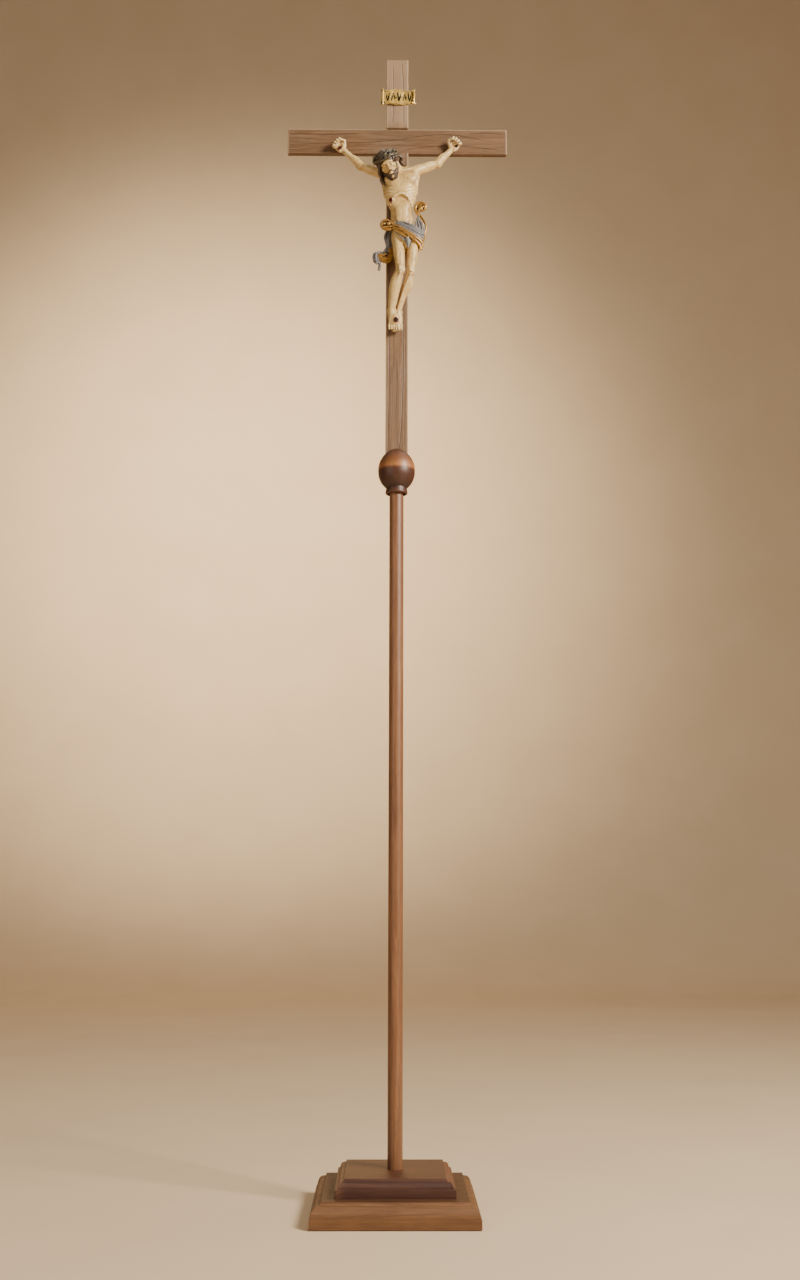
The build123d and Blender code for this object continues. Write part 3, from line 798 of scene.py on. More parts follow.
def head_clay():
    clay = Clay(SKULL - vec(30, 34, 40), SKULL + vec(34, 36, 34), 0.38)
    clay.add(rod((2, -35, 2026), at(0, -3, -12), 11, 10.5), 3)
    clay.add(head_egg(0, -2, 5, (16.6, 20, 19.5)))
    clay.add(head_egg(0, 3, -9, (13, 13.6, 16.5)), 3)
    clay.add(head_egg(0, 6, 10, (13.5, 11.5, 10)), 3)
    clay.add(head_egg(0, 10.5, -14, (8, 6.5, 6.5)), 3)
    clay.add(head_egg(0, 13, -23, (4.8, 4.4, 4.2)), 3)
    for side in (-1, 1):
        head_line(clay, [(side * 12.2, -1, -12, 4), (side * 6, 8.5, -21.5, 4), (0, 11.5, -23.5, 4)], 3)
        clay.add(head_egg(side * 9.2, 10.4, -5.8, (4.6, 4.2, 3.6)), 3)
        clay.carve(head_egg(side * 10.5, 14.5, -13.5, (3.5, 4, 5)), 4)
        head_line(clay, [(side * 10.5, 12.4, 2.2, 1.5), (side * 6, 15.9, 3.6, 1.7),
            (side * 1.6, 16.6, 2.4, 1.5)], 1.8)
        clay.carve(head_egg(side * 6.3, 18.4, -1.2, (4.3, 3.7, 2.9)), 1.6)
        clay.add(head_egg(side * 6.3, 12.5, -1.3, (4.1, 4, 3.2)), 0.4)
        # upper lid, lashes and lower lid
        head_line(clay, [(side * 3.1, 15, 0.6, 0.35), (side * 6.3, 16.2, 1.5, 0.4),
            (side * 9.6, 14.4, 0.4, 0.35)], 0.4, True)
        head_line(clay, [(side * 3, 15.4, -2.2, 0.35), (side * 4.6, 16.2, -2.9, 0.4),
            (side * 6.4, 16.5, -3.1, 0.4), (side * 9.5, 14.8, -2.3, 0.35)], 0.3, True)
        head_line(clay, [(side * 3.4, 14.8, -3.6, 0.5), (side * 6.4, 15.9, -4.4, 0.6),
            (side * 9.2, 14.2, -3.6, 0.5)], 0.8)
        clay.add(head_egg(side * 2.6, 18, -9.2, (1.6, 2.3, 1.6)), 1)
        clay.carve(head_egg(side * 1.3, 19.6, -10.7, (0.6, 1, 0.5)), 0.4)
        head_line(clay, [(side * 4.2, 16.4, -8.2, 0.4), (side * 6.4, 14.6, -13, 0.4)], 1, True)
        # ear
        clay.add(head_egg(side * 15.2, -3.5, -3.5, (1.9, 4, 6)), 1)
        clay.carve(head_egg(side * 17, -2.6, -3, (1.2, 2.3, 4)), 0.8)
        clay.add(head_egg(side * 15.6, -1.2, -9.5, (1.6, 1.8, 2.2)), 0.8)
    head_line(clay, [(0, 16.4, 2, 1.3), (0, 18.4, -3.5, 1.5), (0, 20.6, -8, 2)], 1.8)
    clay.add(head_egg(0, 21, -8.7, (2.2, 2.1, 1.8)), 1.2)
    head_line(clay, [(0, 17.9, -11.4, 0.4), (0, 17.7, -13, 0.5)], 0.8, True)
    head_line(clay, [(-4.3, 15, -15.3, 0.7), (-1.2, 17.4, -14.2, 1), (0, 17.3, -14.6, 1),
        (1.2, 17.4, -14.2, 1), (4.3, 15, -15.3, 0.7)], 0.8)
    head_line(clay, [(-3.6, 15.2, -16.1, 0.7), (0, 17.2, -16.9, 1.3), (3.6, 15.2, -16.1, 0.7)], 0.8)
    head_line(clay, [(-4.7, 15.4, -15.6, 0.3), (-1.5, 18, -15.3, 0.35), (0, 18.3, -15.6, 0.35),
        (1.5, 18, -15.3, 0.35), (4.7, 15.4, -15.6, 0.3)], 0.3, True)
    return clay


def lips(points):
    """A faint red on the lips."""
    value = np.zeros(len(points))
    for across in (-3, -1, 1, 3):
        value = np.maximum(value, 0.34 * near(points, at(across, 17.6 - 0.16 * across * across, -15.6), 1.3,
            1.5))
    return value


def hair_point(around, down, lift=0):
    """A point over the skull: around is 0 at the face, and down is 0 at the crown of the head."""
    a, d = math.radians(around), math.radians(down)
    return at(
        (18.6 + lift) * math.sin(d) * math.sin(a),
        -2.6 + (21.6 + lift) * math.sin(d) * math.cos(a),
        7 + (19.6 + lift) * math.cos(d),
    )


def lock(clay, points, thick, thin, wave=0, phase=0, blend=0.5, curls=3.2):
    """A wavy lock of hair through a few points, thinning to its tip."""
    path = smoothed(points, 6, 4)
    share = np.linspace(0, 1, len(path))
    side = unit(np.cross(path[-1] - path[0], HEAD_FRONT))
    fore = unit(np.cross(path[-1] - path[0], side))
    turn = curls * math.pi * share + phase
    path = path + (wave * share * np.sin(turn))[:, None] * side + (0.6 * wave * share * np.cos(turn))[:,
        None] * fore
    size = thick + (thin - thick) * share
    clay.line([(*p, r) for p, r in zip(path, size)], blend)


def hair_clay():
    clay = Clay(SKULL - vec(32, 36, 46), SKULL + vec(42, 36, 44), 0.42)
    rng = np.random.default_rng(3)
    clay.add(head_egg(0, -2.6, 7, (18, 21.2, 19.2)))
    clay.carve(head_egg(0, 20, -10, (13.6, 15, 18)), 1)
    for around in range(-176, 180, 8):
        phase = rng.uniform(0, 6)
        low = 86 if abs(around) < 44 else 100 + rng.uniform(-6, 8)
        path = [
            hair_point(around + 6 * math.sin(0.06 * down + phase), down, 0.5) for down in np.linspace(8, low,
                7)
        ]
        lock(clay, path, 1.3, 1.9, 0.5, phase)
    # the curly locks that hang at the left of the face, down to the breast
    for number in range(10):
        share = number / 9
        start = hair_point(-52 - 70 * share, 84, 0.6)
        middle = vec(-37.5 + 10 * share, -66 + 18 * share, 2014.5 + 2 * share)
        low = vec(-36.5 + 10 * share, -58 + 14 * share, 2003)
        tip = vec(-31.5 + 4 * share, -53 + 9 * share, 1991.5 + 3.5 * math.sin(2.4 * number))
        lock(clay, [start, middle, low, tip], 2.5, 1.3, 2, 1.3 * number, curls=4.6)
    # the locks that curl out behind the neck on to the right shoulder
    for number in range(9):
        share = number / 8
        path = [at(9 + 3 * share, -12, 6), (-2 + 2 * share, -50 + 4 * share, 2050 + 3 * share),
            (4 + 3 * share, -44, 2058 - 5 * share), (8.5 + 1.5 * share, -41, 2053 - 3 * share),
            (4 + 4.5 * share, -39, 2045), (7 + 5 * share, -37, 2040 - share),
            (13 + 3 * share, -34 + share, 2035.5)]
        lock(clay, path, 2.7, 1.9, 0.8, 1.1 * number, curls=5)
    beard(clay, rng)
    return clay


def beard(clay, rng):
    """A short full beard that parts at the chin, and a moustache over the corners of the mouth."""
    for layer in range(3):
        for number in range(-11, 12):
            turn = math.radians(8.6 * number + 4 * layer)
            middle = max(0, math.cos(turn))
            across, front = 13.2 * math.sin(turn), 1 + (12.6 + 0.9 * layer) * middle
            root = -13 - 7 * middle + 2 * layer * (1 - middle)
            drop = 4 + 6.5 * middle - 1.2 * layer
            part = 0.74 * across + (0.9 if number >= 0 else -0.9)
            lock(
                clay,
                [at(across, front - 1.2, root + 2.6), at(1.02 * across, front + 0.7, root - 1.5),
                 at(part, front + 1.2, root - drop)],
                1.8, 0.8, 0.9, rng.uniform(0, 6), 0.35, 4,
            )
    clay.add(head_egg(0, 11.2, -22.5, (5.6, 5, 3.6)), 0.8)
    for side in (-1, 1):
        lock(clay, [at(side * 14.6, 4, 2), at(side * 14.6, 3.6, -6), at(side * 13.6, 3.2, -13)], 2.1, 1.9,
            0.5, side)
        for layer in range(3):
            lock(
                clay,
                [at(side * 0.7, 18.2 - 0.3 * layer, -12.2 - 0.5 * layer),
                 at(side * (4.4 + 0.5 * layer), 17 - 0.4 * layer, -13.4 - 0.3 * layer),
                 at(side * (7.8 + 0.6 * layer), 12.8, -18.8 + 1.2 * layer)],
                1.1, 0.8, 0.3, layer, 0.3,
            )
        for number in range(3):
            across = side * (0.5 + 1.3 * number)
            lock(clay, [at(0.8 * across, 15.6 - 0.4 * number, -18.3), at(across, 15.4 - 0.5 * number, -21.5),
                        at(1.3 * across, 14.6, -25.5)], 0.9, 0.7, 0.4, number, 0.4)


def crown_clay():
    """Branches laid round the head and loosely twisted, with short thorns."""
    clay = Clay(SKULL - vec(34, 38, 22), SKULL + vec(30, 32, 42), 0.42)
    rng = np.random.default_rng(11)
    for strands, twists, reach, swing, thick, out in ((3, 4 / 3, 11, 1.4, 3.3, 2.2),
        (4, -5 / 4, 15, 1.6, 1.7, 4.2),
                                                      (3, 5 / 3, 15, 1, 1.2, 5.4)):
        for strand in range(strands):
            shift = 2 * math.pi * strand / strands
            path = []
            for tick in range(121):
                turn = 3 * tick
                roll = twists * math.radians(turn) + shift
                gnarl = 1 + 0.12 * math.sin(0.31 * turn + 2 * strand)
                path.append((*hair_point(turn, 67 + reach * math.sin(roll), out + swing * math.cos(roll)),
                             thick * gnarl))
            clay.line(path, 0.25)
    for thorn in range(34):
        turn = 360 * thorn / 34 + rng.uniform(-4, 4)
        down = rng.uniform(54, 80)
        root = hair_point(turn, down, 4.2)
        tip = hair_point(turn + rng.uniform(-9, 9), down + rng.uniform(-9, 9), 9)
        clay.add(rod(root, tip, 1, 0.2), 0.4)
    return clay


def coat_paint(name, dark, mid, light, gloss=0.5, metallic=0, grain=70, edge=None):
    """Old paint on carving: darker in the hollows, as patina with painted shade, and lighter on the ridges,
    as rubbed paint with a painted highlight.
    """
    paint = Paint(name)
    hollow = paint.mark("hollow")
    cloud = paint.noise(grain, 4, 0.6)
    fine = paint.noise(grain * 9, 4, 0.6)
    colour = paint.steps(cloud, ((0.32, mid), (0.68, light)))
    # darker in the creases: painted shade, with dark patina
    crease = paint.sum(paint.mark("crease"), paint.times(cloud, 0.3))
    colour = paint.mix(paint.steps(crease, ((0.22, 0), (0.52, 0.97))), colour, dark)
    spots = paint.noise(grain * 3.5, 4, 0.65)
    colour = paint.mix(paint.steps(spots, ((0.5, 0), (0.72, 0.55))), colour, dark)
    # lighter on the ridges in the edge colour: rubbed paint, with a painted highlight
    if edge:
        rub = paint.sum(hollow, paint.times(fine, 0.3))
        colour = paint.mix(paint.steps(rub, ((0.2, 0.8), (0.52, 0))), colour, edge)
    rough = paint.steps(fine, ((0.3, gloss + 0.1), (0.7, gloss - 0.08)))
    return paint.finish(colour, rough, fine, 0.0001, Metallic=metallic)


# each edge colour is the ridges' rubbed paint with a painted highlight
HAIR = coat_paint("painted_hair", (0.008, 0.004, 0.002), (0.045, 0.022, 0.01), (0.08, 0.042, 0.02), 0.42,
                  edge=(0.21, 0.125, 0.062))
CROWN = coat_paint("painted_crown", (0.008, 0.006, 0.003), (0.055, 0.042, 0.022), (0.105, 0.085, 0.048), 0.42,
                   edge=(0.3, 0.255, 0.17))
GOLD = coat_paint("antique_gilding", (0.04, 0.016, 0.005), (0.3, 0.145, 0.027), (0.46, 0.255, 0.058), 0.34,
    0.4, edge=(0.78, 0.52, 0.18))
CLOTH = coat_paint("painted_cloth", (0.04, 0.024, 0.014), (0.105, 0.1, 0.108), (0.19, 0.185, 0.195), 0.5,
                   edge=(0.48, 0.44, 0.4))

clay_object("corpus_head", head_clay(), PAINTED_SKIN, (), (8, 0.5), lips)
clay_object("corpus_hair_locks", hair_clay(), HAIR, ("corpus_hair",), (10, 0.7))
clay_object("thorn_wreath", crown_clay(), CROWN, ("crown_of_thorns",), (10, 0.7))


# ------------------------------------------------------------------ loincloth
def behind(points, depth):
    """(x, height, radius) points at one depth, raised as far as a view from below needs."""
    return [(x, -depth, z + 0.53 * (42 - depth), r) for x, z, r in points]


def over(points, lift):
    """(x, height, radius) points laid over the front of the hips."""
    path = []
    for x, z, r in points:
        depth = 31 + 19.5 * math.sqrt(max(0, 1 - ((x - 19) / 35) ** 2)) + lift
        path += behind([(x, z, r)], depth)
    return path


def fold(clay, points, lift, blend):
    """A ridge of cloth over the front of the hips."""
    clay.line(smoothed(over(points, lift), 5, 5), blend)


def strip(clay, points, depth, blend):
    """A ridge of cloth beside the hips, all at one depth."""
    clay.line(smoothed(behind(points, depth), 5, 5), blend)


def cloth_clay():
    clay = Clay((-58, -66, 1800), (70, -8, 1960), 0.55)
    clay.add(egg((25, -32, 1884), (29, 18.5, 16), (-0.55, 0, 1)), 2)
    # the body of the cloth that the folds stand on
    for run in (
        [(1, 1907, 5.5), (12, 1905, 6.5), (24, 1900, 7), (37, 1893, 7), (50, 1886, 6)],
        [(4, 1902, 5), (14, 1897, 6.5), (26, 1889, 7), (38, 1883, 7), (49, 1877, 6)],
    ):
        fold(clay, run, -4.6, 2)
    strip(clay, [(47, 1890, 6), (48, 1900, 6.5), (46, 1910, 5.5), (43, 1920, 3.5)], 34.5, 2)
    strip(clay, [(-12, 1890, 6), (-17, 1878, 7), (-18, 1866, 6.5), (-16, 1855, 6), (-24, 1846, 4)], 25, 2)
    fold(clay, [(20, 1875, 5.5), (22, 1866, 3), (22.5, 1861, 1.6)], -1.8, 1)
    clay.add(egg((-41.8, -27.5, 1840.2), (7.2, 5.5, 10.5)), 1)
    # the folds that run down from the left hip to the right one
    fold(clay, [(-3, 1906, 1.6), (2, 1911, 2), (9, 1912, 2.1), (17, 1910.5, 2.1), (27, 1907, 2.2),
        (36, 1901, 2.4), (45, 1894.5, 2.6), (53, 1889, 2.6)], 1.2, 0.8)
    fold(clay, [(0, 1908, 1.8), (8, 1908, 2.2), (17, 1903, 2.4), (27, 1897, 2.6), (37, 1891, 2.8),
        (47, 1885.5, 3), (54, 1883, 2.6)], 1.6, 0.8)
    fold(clay, [(2, 1906, 1.8), (10, 1903.5, 2.2), (18, 1897.5, 2.4), (28, 1891, 2.6), (38, 1885, 2.8),
        (48, 1879.5, 3), (54, 1876.5, 2.6)], 1.2, 0.8)
    fold(clay, [(4, 1905, 1.6), (12, 1899, 2), (21, 1892.5, 2.2), (31, 1886, 2.4), (41, 1880, 2.6),
        (49, 1873, 2.4)], 1.4, 0.8)
    fold(clay, [(20, 1908.5, 1.2), (30, 1901.5, 1.9), (40, 1894, 2), (49, 1888, 1.6)], 1.6, 1)
    fold(clay, [(6, 1911, 0.9), (16, 1906.5, 1.2), (26, 1901, 1.3), (35, 1896, 0.9)], 2.4, 1)
    # the edge over the left thigh, and the corner that hangs between the legs
    fold(clay, [(-6, 1893, 1.6), (1, 1886.5, 1.5), (7, 1880, 1.5), (13, 1874, 1.6)], 0.8, 0.6)
    clay.add(egg((21.8, -41, 1869.5), (8, 6, 9), (0.05, -0.25, 1)), 2)
    for x, drop in ((15.5, 0), (21.5, 1), (27.5, 0)):
        fold(clay, [(x, 1876, 2.3), (0.45 * x + 12, 1866 - drop, 2), (22, 1858.5 - drop, 1.2)],
            -1.4 + 0.3 * drop, 1.6)
    # the flap that rises from the right hip
    strip(clay, [(48, 1886, 3), (51, 1896, 2.8), (49.5, 1906, 2.5), (44.5, 1915, 2.2), (41.5, 1923, 1.8)], 39,
        0.7)
    strip(clay, [(42, 1891, 2.8), (45, 1900, 2.6), (42.5, 1910, 2.3), (39.5, 1919, 1.8)], 40.5, 0.7)
    strip(clay, [(53, 1888, 2.4), (55, 1898, 2.4), (53, 1907, 2.2), (48, 1916, 1.8)], 36, 0.7)
    strip(clay, [(36, 1897, 2.2), (39, 1904, 2.2), (37.5, 1912, 1.8)], 41, 0.7)
    # the strip that drops behind the left thigh
    strip(clay, [(-18, 1893, 2.6), (-23.5, 1885, 2.6), (-25, 1877, 2.5), (-23, 1868, 2.5), (-20.5, 1860, 2.6),
        (-20.5, 1852, 2.6), (-25, 1845, 2.6), (-31, 1843.5, 2.2)], 28, 0.7)
    strip(clay, [(-14, 1892, 2.6), (-18, 1882, 3), (-19.5, 1872, 2.8), (-17, 1862, 2.8), (-15.5, 1854, 2.8),
        (-18, 1848, 2.6)], 29.5, 0.7)
    strip(clay, [(-9, 1890, 2.8), (-12.5, 1878, 3), (-13.5, 1868, 3), (-12, 1858, 3), (-11, 1850, 3)], 27,
        0.7)
    # the crumpled end of the tail, and its drop
    for depth, ridge in (
        (29, [(-46.5, 1841, 2.4), (-48, 1833, 2.7), (-45.5, 1823.5, 2.4)]),
        (31, [(-42.5, 1844, 2.4), (-44, 1834, 2.8), (-41.5, 1821, 2.6)]),
        (30, [(-38, 1845, 2.2), (-40, 1838, 2.6), (-39, 1828, 2.6), (-36, 1820.5, 2.4)]),
        (28, [(-33, 1845, 2), (-37, 1843, 2.4), (-42, 1840, 2)]),
        (32, [(-46, 1829, 1.6), (-42, 1827, 1.8), (-38, 1823, 1.4)]),
    ):
        strip(clay, ridge, depth, 0.5)
    strip(clay, [(-35.5, 1823, 2.6), (-35.5, 1816, 2.5), (-36.5, 1808, 3.2)], 29, 0.5)
    strip(clay, [(-33.5, 1818, 1.2), (-34, 1812, 1.3)], 31, 0.5)
    clay.carve(slab((-80, UPRIGHT_FACE - 0.3, 1780), (90, 20, 1990)), 0.3)
    return clay


def gold_clay():
    clay = Clay((-58, -68, 1800), (72, -8, 1966), 0.55)
    clay.add(egg((9, -31, 1886), (12, 17, 8), (-0.3, 0, 1)), 1)
    for run in (
        [(-6, 1901, 4), (6, 1897, 5), (18, 1889, 5.5), (31, 1880, 6), (43, 1871, 6), (48, 1860, 4.5)],
        [(-6, 1897, 4), (4, 1890, 5), (13, 1884, 5), (20, 1881, 4)],
    ):
        fold(clay, run, -2.6, 1.5)
    # the rolled hem
    fold(clay, [(-8, 1903, 2), (-1, 1904, 2.2), (8, 1899, 2.4), (16, 1893.5, 2.6), (24, 1887.5, 2.8),
        (33, 1881, 3.1), (42, 1874.5, 3.3), (48.5, 1868, 3.4), (51, 1861, 3.2), (48, 1853.5, 2.8)], 1.6, 1)
    fold(clay, [(13, 1890, 1.8), (19, 1886.5, 2.3), (26, 1880.5, 2.8), (35, 1873, 3), (42, 1866.5, 3),
        (46.5, 1860, 2.8), (46.5, 1853, 2.2)], 1.6, 0.8)
    fold(clay, [(12, 1899, 1), (22, 1892.5, 1.3), (32, 1886, 1.5), (42, 1880.5, 1.6), (50, 1875.5, 1.8),
        (53.5, 1868, 2)], 2.4, 1)
    fold(clay, [(52, 1890, 2), (55, 1884, 2.3), (55, 1877, 2.4), (52.5, 1869, 2.2), (50.5, 1862, 2)], 1.5,
        0.7)
    # the lining that shows over the left thigh
    fold(clay, [(-9, 1900, 2.2), (-2, 1898, 2.2), (5, 1896, 2.2), (12, 1893, 1.8), (18, 1888.5, 1.4)], 1.8,
        0.6)
    fold(clay, [(-8, 1896, 2), (0, 1890, 1.9), (8, 1884.5, 2.1), (15, 1881.5, 2.4), (22, 1878.5, 2.2)], 1.6,
        0.6)
    fold(clay, [(-6, 1897.5, 1.2), (1, 1893.5, 1.3), (8, 1889.5, 1.2), (13, 1888, 0.8)], 1.4, 0.6)
    # the rolled knot at the left hip
    clay.add(egg((-21, -37.5, 1906.5), (11.5, 6.4, 10)), 1.5)
    strip(clay, [(-7, 1903, 2.6), (-12, 1909, 2.8), (-19, 1914, 3.1), (-26, 1914.5, 3.2), (-31, 1910, 3.1),
        (-32.5, 1903.5, 3), (-29, 1897.5, 3), (-23, 1894.5, 3), (-16, 1894.5, 3), (-9, 1897.5, 2.8),
        (-3, 1897, 2.2)], 42, 0.7)
    clay.add(egg((-27, -42.5, 1906), (4.4, 4, 3)), 0.8)
    clay.add(egg((-18, -43, 1906), (4.8, 4.4, 4.4)), 0.8)
    strip(clay, [(-29, 1900.5, 1.8), (-23, 1900, 2.6), (-17, 1900.5, 2.2), (-11, 1902, 1.8)], 44, 0.6)
    for x, z, wide in ((-26.5, 1911, 2.6), (-20, 1912, 2.4), (-27, 1903, 2.2), (-22.6, 1907.5, 1)):
        clay.carve(egg((x, -45.5, z - 1), (wide, 4.2, 1.3), (0.1, 0, 1)), 0.8)
    # the rim of the right flap, and the roll on its end
    strip(clay, [(52, 1890, 4), (53.5, 1900, 4.6), (51.5, 1909, 4.4), (47.5, 1917, 3.8), (43, 1925, 3)], 31,
        1.5)
    strip(clay, [(53, 1899, 1.6), (52.5, 1906, 1.9), (49, 1914, 1.8), (44.5, 1921.5, 1.6)], 37, 0.8)
    strip(clay, [(55, 1884, 2.2), (57.5, 1892, 2.3), (58.5, 1901, 2.4), (56.5, 1910, 2.3), (52, 1918, 2.3),
        (46.5, 1925, 2.6), (41, 1930, 3)], 34, 0.7)
    clay.add(egg((48, -34.5, 1946.5), (10.5, 6, 9)), 1.5)
    strip(clay, [(44, 1926, 2.2), (39.5, 1931, 3), (36.5, 1938, 3.2), (37.5, 1946, 3.2), (42, 1952, 3.3),
        (49, 1953.5, 3.3), (55.5, 1950.5, 3.3), (58, 1944.5, 3.2), (55.5, 1939, 3), (49.5, 1937, 2.6)], 38,
        0.6)
    strip(clay, [(41, 1931, 2.2), (44, 1936, 3), (46.5, 1940, 3.2), (50, 1943.5, 2.4), (54, 1944.5, 1.6)], 40,
        0.8)
    for x, z, tall in ((41, 1946, 4.6), (50.5, 1949.5, 2), (53, 1941.5, 1.6)):
        clay.carve(egg((x, -43, z - 1), (1.5, 5, tall), (0.5, 0, 1)), 0.8)
    # the gilded turn of the tail
    strip(clay, [(-11, 1853, 3), (-10.5, 1841, 3.4), (-12.5, 1831, 3.6), (-19, 1824.5, 3.6), (-28, 1825, 3.6),
        (-36, 1831, 3.2)], 29, 0.7)
    strip(clay, [(-15, 1851, 2.6), (-14.5, 1841, 3.2), (-18, 1832.5, 3.5), (-25, 1830.5, 3.6),
        (-32, 1832.5, 3.4), (-38, 1836.5, 2.6)], 31, 0.7)
    strip(clay, [(-22, 1842, 2.2), (-27, 1838.5, 2.8), (-33, 1838, 2.8), (-37, 1840.5, 2.2)], 31.5, 0.7)
    clay.add(egg((-24, -27.5, 1838), (12, 5, 7.5), (0.3, 0, 1)), 1.5)
    clay.carve(egg((-18.5, -34, 1849.5), (3.4, 5, 5), (-0.5, 0, 1)), 0.8)
    clay.carve(slab((-80, UPRIGHT_FACE - 0.3, 1780), (90, 20, 1990)), 0.3)
    return clay


GILDED = ("loincloth_knot", "loincloth_wing", "loincloth_tail")
clay_object("loincloth_blue", cloth_clay(), CLOTH, ("loincloth_wrap",), (14, 1))
clay_object("loincloth_gold", gold_clay(), GOLD, GILDED, (14, 1))


# ------------------------------------------------------------------ boards
def groove(x, z, points, width=0.55, depth=0.6):
    """How deep a gouged line cuts at each place; points run along its middle."""
    value = np.zeros(np.broadcast(x, z).shape)
    count = len(points) - 1
    for number, ((xa, za), (xb, zb)) in enumerate(zip(points, points[1:])):
        dx, dz = xb - xa, zb - za
        share = np.clip(((x - xa) * dx + (z - za) * dz) / (dx * dx + dz * dz), 0, 1)
        away = np.hypot(x - xa - share * dx, z - za - share * dz)
        fade = np.minimum(1, 5 * (1 - np.abs(2 * (number + share) / count - 1)) + 0.12)
        value = np.maximum(value, depth * fade * np.exp(-((away / width) ** 2)))
    return value


def curve(points):
    """A flat line made smooth."""
    return smoothed(points, 8, 16)[::4]


def places(low, high, step):
    """Positions across a board, close together at both edges."""
    edge = np.array([0, 0.2, 0.5, 0.9, 1.5, 2.4])
    inner = np.linspace(low + 3, high - 3, max(2, int((high - low - 6) / step) + 1))
    return np.concatenate([low + edge, inner, high - edge[::-1]])


def rounded(x, edges, radii):
    """How far a rounded edge falls back at x, between two edges."""
    fall = np.zeros_like(x)
    for place, radius in zip((x - edges[0], edges[1] - x), radii):
        if radius:
            fall += radius - np.sqrt(np.maximum(radius**2 - np.maximum(radius - place, 0) ** 2, 0))
    return fall


def plank(low, high, steps, lines, ends=(1.1, 1.1), back_ends=(1.1, 1.1)):
    """A board with carved lines on its front: points, quads, and how deep each point lies in a line."""
    xs, zs = places(low[0], high[0], steps[0]), places(low[2], high[2], steps[1])
    x, z = xs[:, None], zs[None, :]
    cut = np.zeros((len(xs), len(zs)))
    for line in lines:
        cut = np.maximum(cut, groove(x, z, *line))
    sides = rounded(xs, (low[0], high[0]), (1.1, 1.1))[:, None]
    front = low[1] + sides + rounded(zs, (low[2], high[2]), ends)[None, :] + cut
    back = high[1] - sides - rounded(zs, (low[2], high[2]), back_ends)[None, :]
    points = []
    for depth in (front, back):
        points.append(np.stack([x + 0 * depth, depth, z + 0 * depth], -1).reshape(-1, 3))
    index = np.arange(len(xs) * len(zs)).reshape(len(xs), len(zs))
    face = np.stack([index[:-1, :-1], index[1:, :-1], index[1:, 1:], index[:-1, 1:]], -1).reshape(-1, 4)
    ring = np.concatenate([index[:, 0], index[-1, 1:], index[-2::-1, -1], index[0, -2::-1]])
    rim = np.stack([ring[:-1], ring[:-1] + index.size, ring[1:] + index.size, ring[1:]], 1)
    quads = np.concatenate([face, face[:, ::-1] + index.size, rim])
    return np.concatenate(points), quads, np.concatenate([cut.ravel(), 0 * cut.ravel()])


def plank_object(name, planks, material):
    points, quads, cuts, count = [], [], [], 0
    for made, faces, cut in planks:
        points.append(made)
        quads.append(faces + count)
        cuts.append(cut)
        count += len(made)
    points, quads, cuts = (np.concatenate(parts) for parts in (points, quads, cuts))
    mesh_object(name + "_board", points, quads, material, (name,), {"cut": cuts / 0.5})


def board_paint(name, dark, mid, light, worn, along, box, glow, lift=0):
    """Weathered waxed board: fine fibres, dark carved lines, rubbed edges and a warmer middle."""
    paint = Paint(name)
    fibres = paint.fibres(along, 0.045)
    fine = paint.noise(1500, 6, 0.7, 0.2, fibres)
    bands = paint.noise(170, 5, 0.65, 0.8, fibres)
    cloud = paint.noise(16, 3, 0.5)
    colour = paint.steps(bands, ((0.32, dark), (0.5, mid), (0.72, light)))
    colour = paint.mix(paint.steps(cloud, ((0.38, 0), (0.7, 0.55))), colour, glow)
    colour = paint.tint(0.55, colour, paint.steps(fine, ((0.34, 0.3), (0.6, 1))))
    axes = paint.axes()
    for axis, low, high in box:
        for start, sign in ((low, 1), (high, -1)):
            if start is None:
                continue
            away = paint.sum(paint.sum(axes[axis], start, "SUBTRACT"), sign / 0.006, "MULTIPLY")
            rub = paint.sum(away, paint.times(bands, 0.9))
            colour = paint.mix(paint.steps(rub, ((0.46, 0.75), (1, 0))), colour, worn)
    pale = paint.steps(paint.sum(axes[2], -2.125, "ADD"), ((0, 0), (0.03, 1)))
    colour = paint.mix(paint.sum(pale, lift, "MULTIPLY"), colour, worn)
    colour = paint.mix(paint.steps(paint.mark("cut"), ((0.1, 0), (0.8, 0.78))), colour, (0.05, 0.022, 0.01))
    rough = paint.steps(fine, ((0.3, 0.62), (0.7, 0.46)))
    return paint.finish(colour, rough, paint.sum(fine, bands), 0.00016)


def bar_lines():
    """Long gouged lines along the bar, given from its left end and down from its top edge."""
    low, high = node_box("cross_bar")
    lines = (
        [(0, 9), (79, 13), (118, 11), (145, 9.7)],
        [(0, 31.7), (48, 33.6), (73, 32), (95, 30.5), (142, 31.4), (173, 28.6), (205, 26.2), (231, 22.6),
            (268, 15.7),
         (307, 10.7), (338, 10.7), (370, 15.7), (401, 22.8), (454, 31)],
        [(0, 46.6), (25, 45.2), (52, 45)],
        [(63, 49), (134, 47.4), (181, 45.8)],
        [(236, 47), (260, 42.4), (291, 37.7), (330, 36.9), (362, 36.6), (393, 39.2), (417, 42.9), (440, 44)],
        [(374, 8.6), (409, 7.9), (454, 9.4)],
    )
    made = [(curve([(low[0] + u, high[2] - v) for u, v in line]), 0.62, 0.55) for line in lines]
    made.append((curve([(low[0] + 250, high[2] - 2.8), (low[0] + 330, high[2] - 3.4)]), 0.5, 0.3))
    return made


def gouges(*lines):
    """Lines down the upright, as (points, width, depth), given from its left edge and the floor."""
    left = node_box("cross_upright")[0][0]
    return [(curve([(left + u, z) for u, z in line]), wide, deep) for line, wide, deep in lines]


def upright_lines():
    return gouges(
        ([(7.2, 2080), (7.2, 1670), (6.2, 1540), (5.4, 1430)], 0.62, 0.55),
        ([(36, 2080), (35.6, 1680), (35.4, 1600), (33.3, 1540), (31.5, 1490), (28, 1450), (24.3, 1426)], 0.62,
            0.55),
        ([(39.5, 1720), (38.6, 1600), (37.4, 1500), (36.9, 1440)], 0.6, 0.35),
        ([(12, 1600), (12.8, 1540), (12.2, 1470)], 0.5, 0.25),
        ([(21, 1660), (20.4, 1590), (21.5, 1500), (20.8, 1440)], 0.5, 0.22),
    )


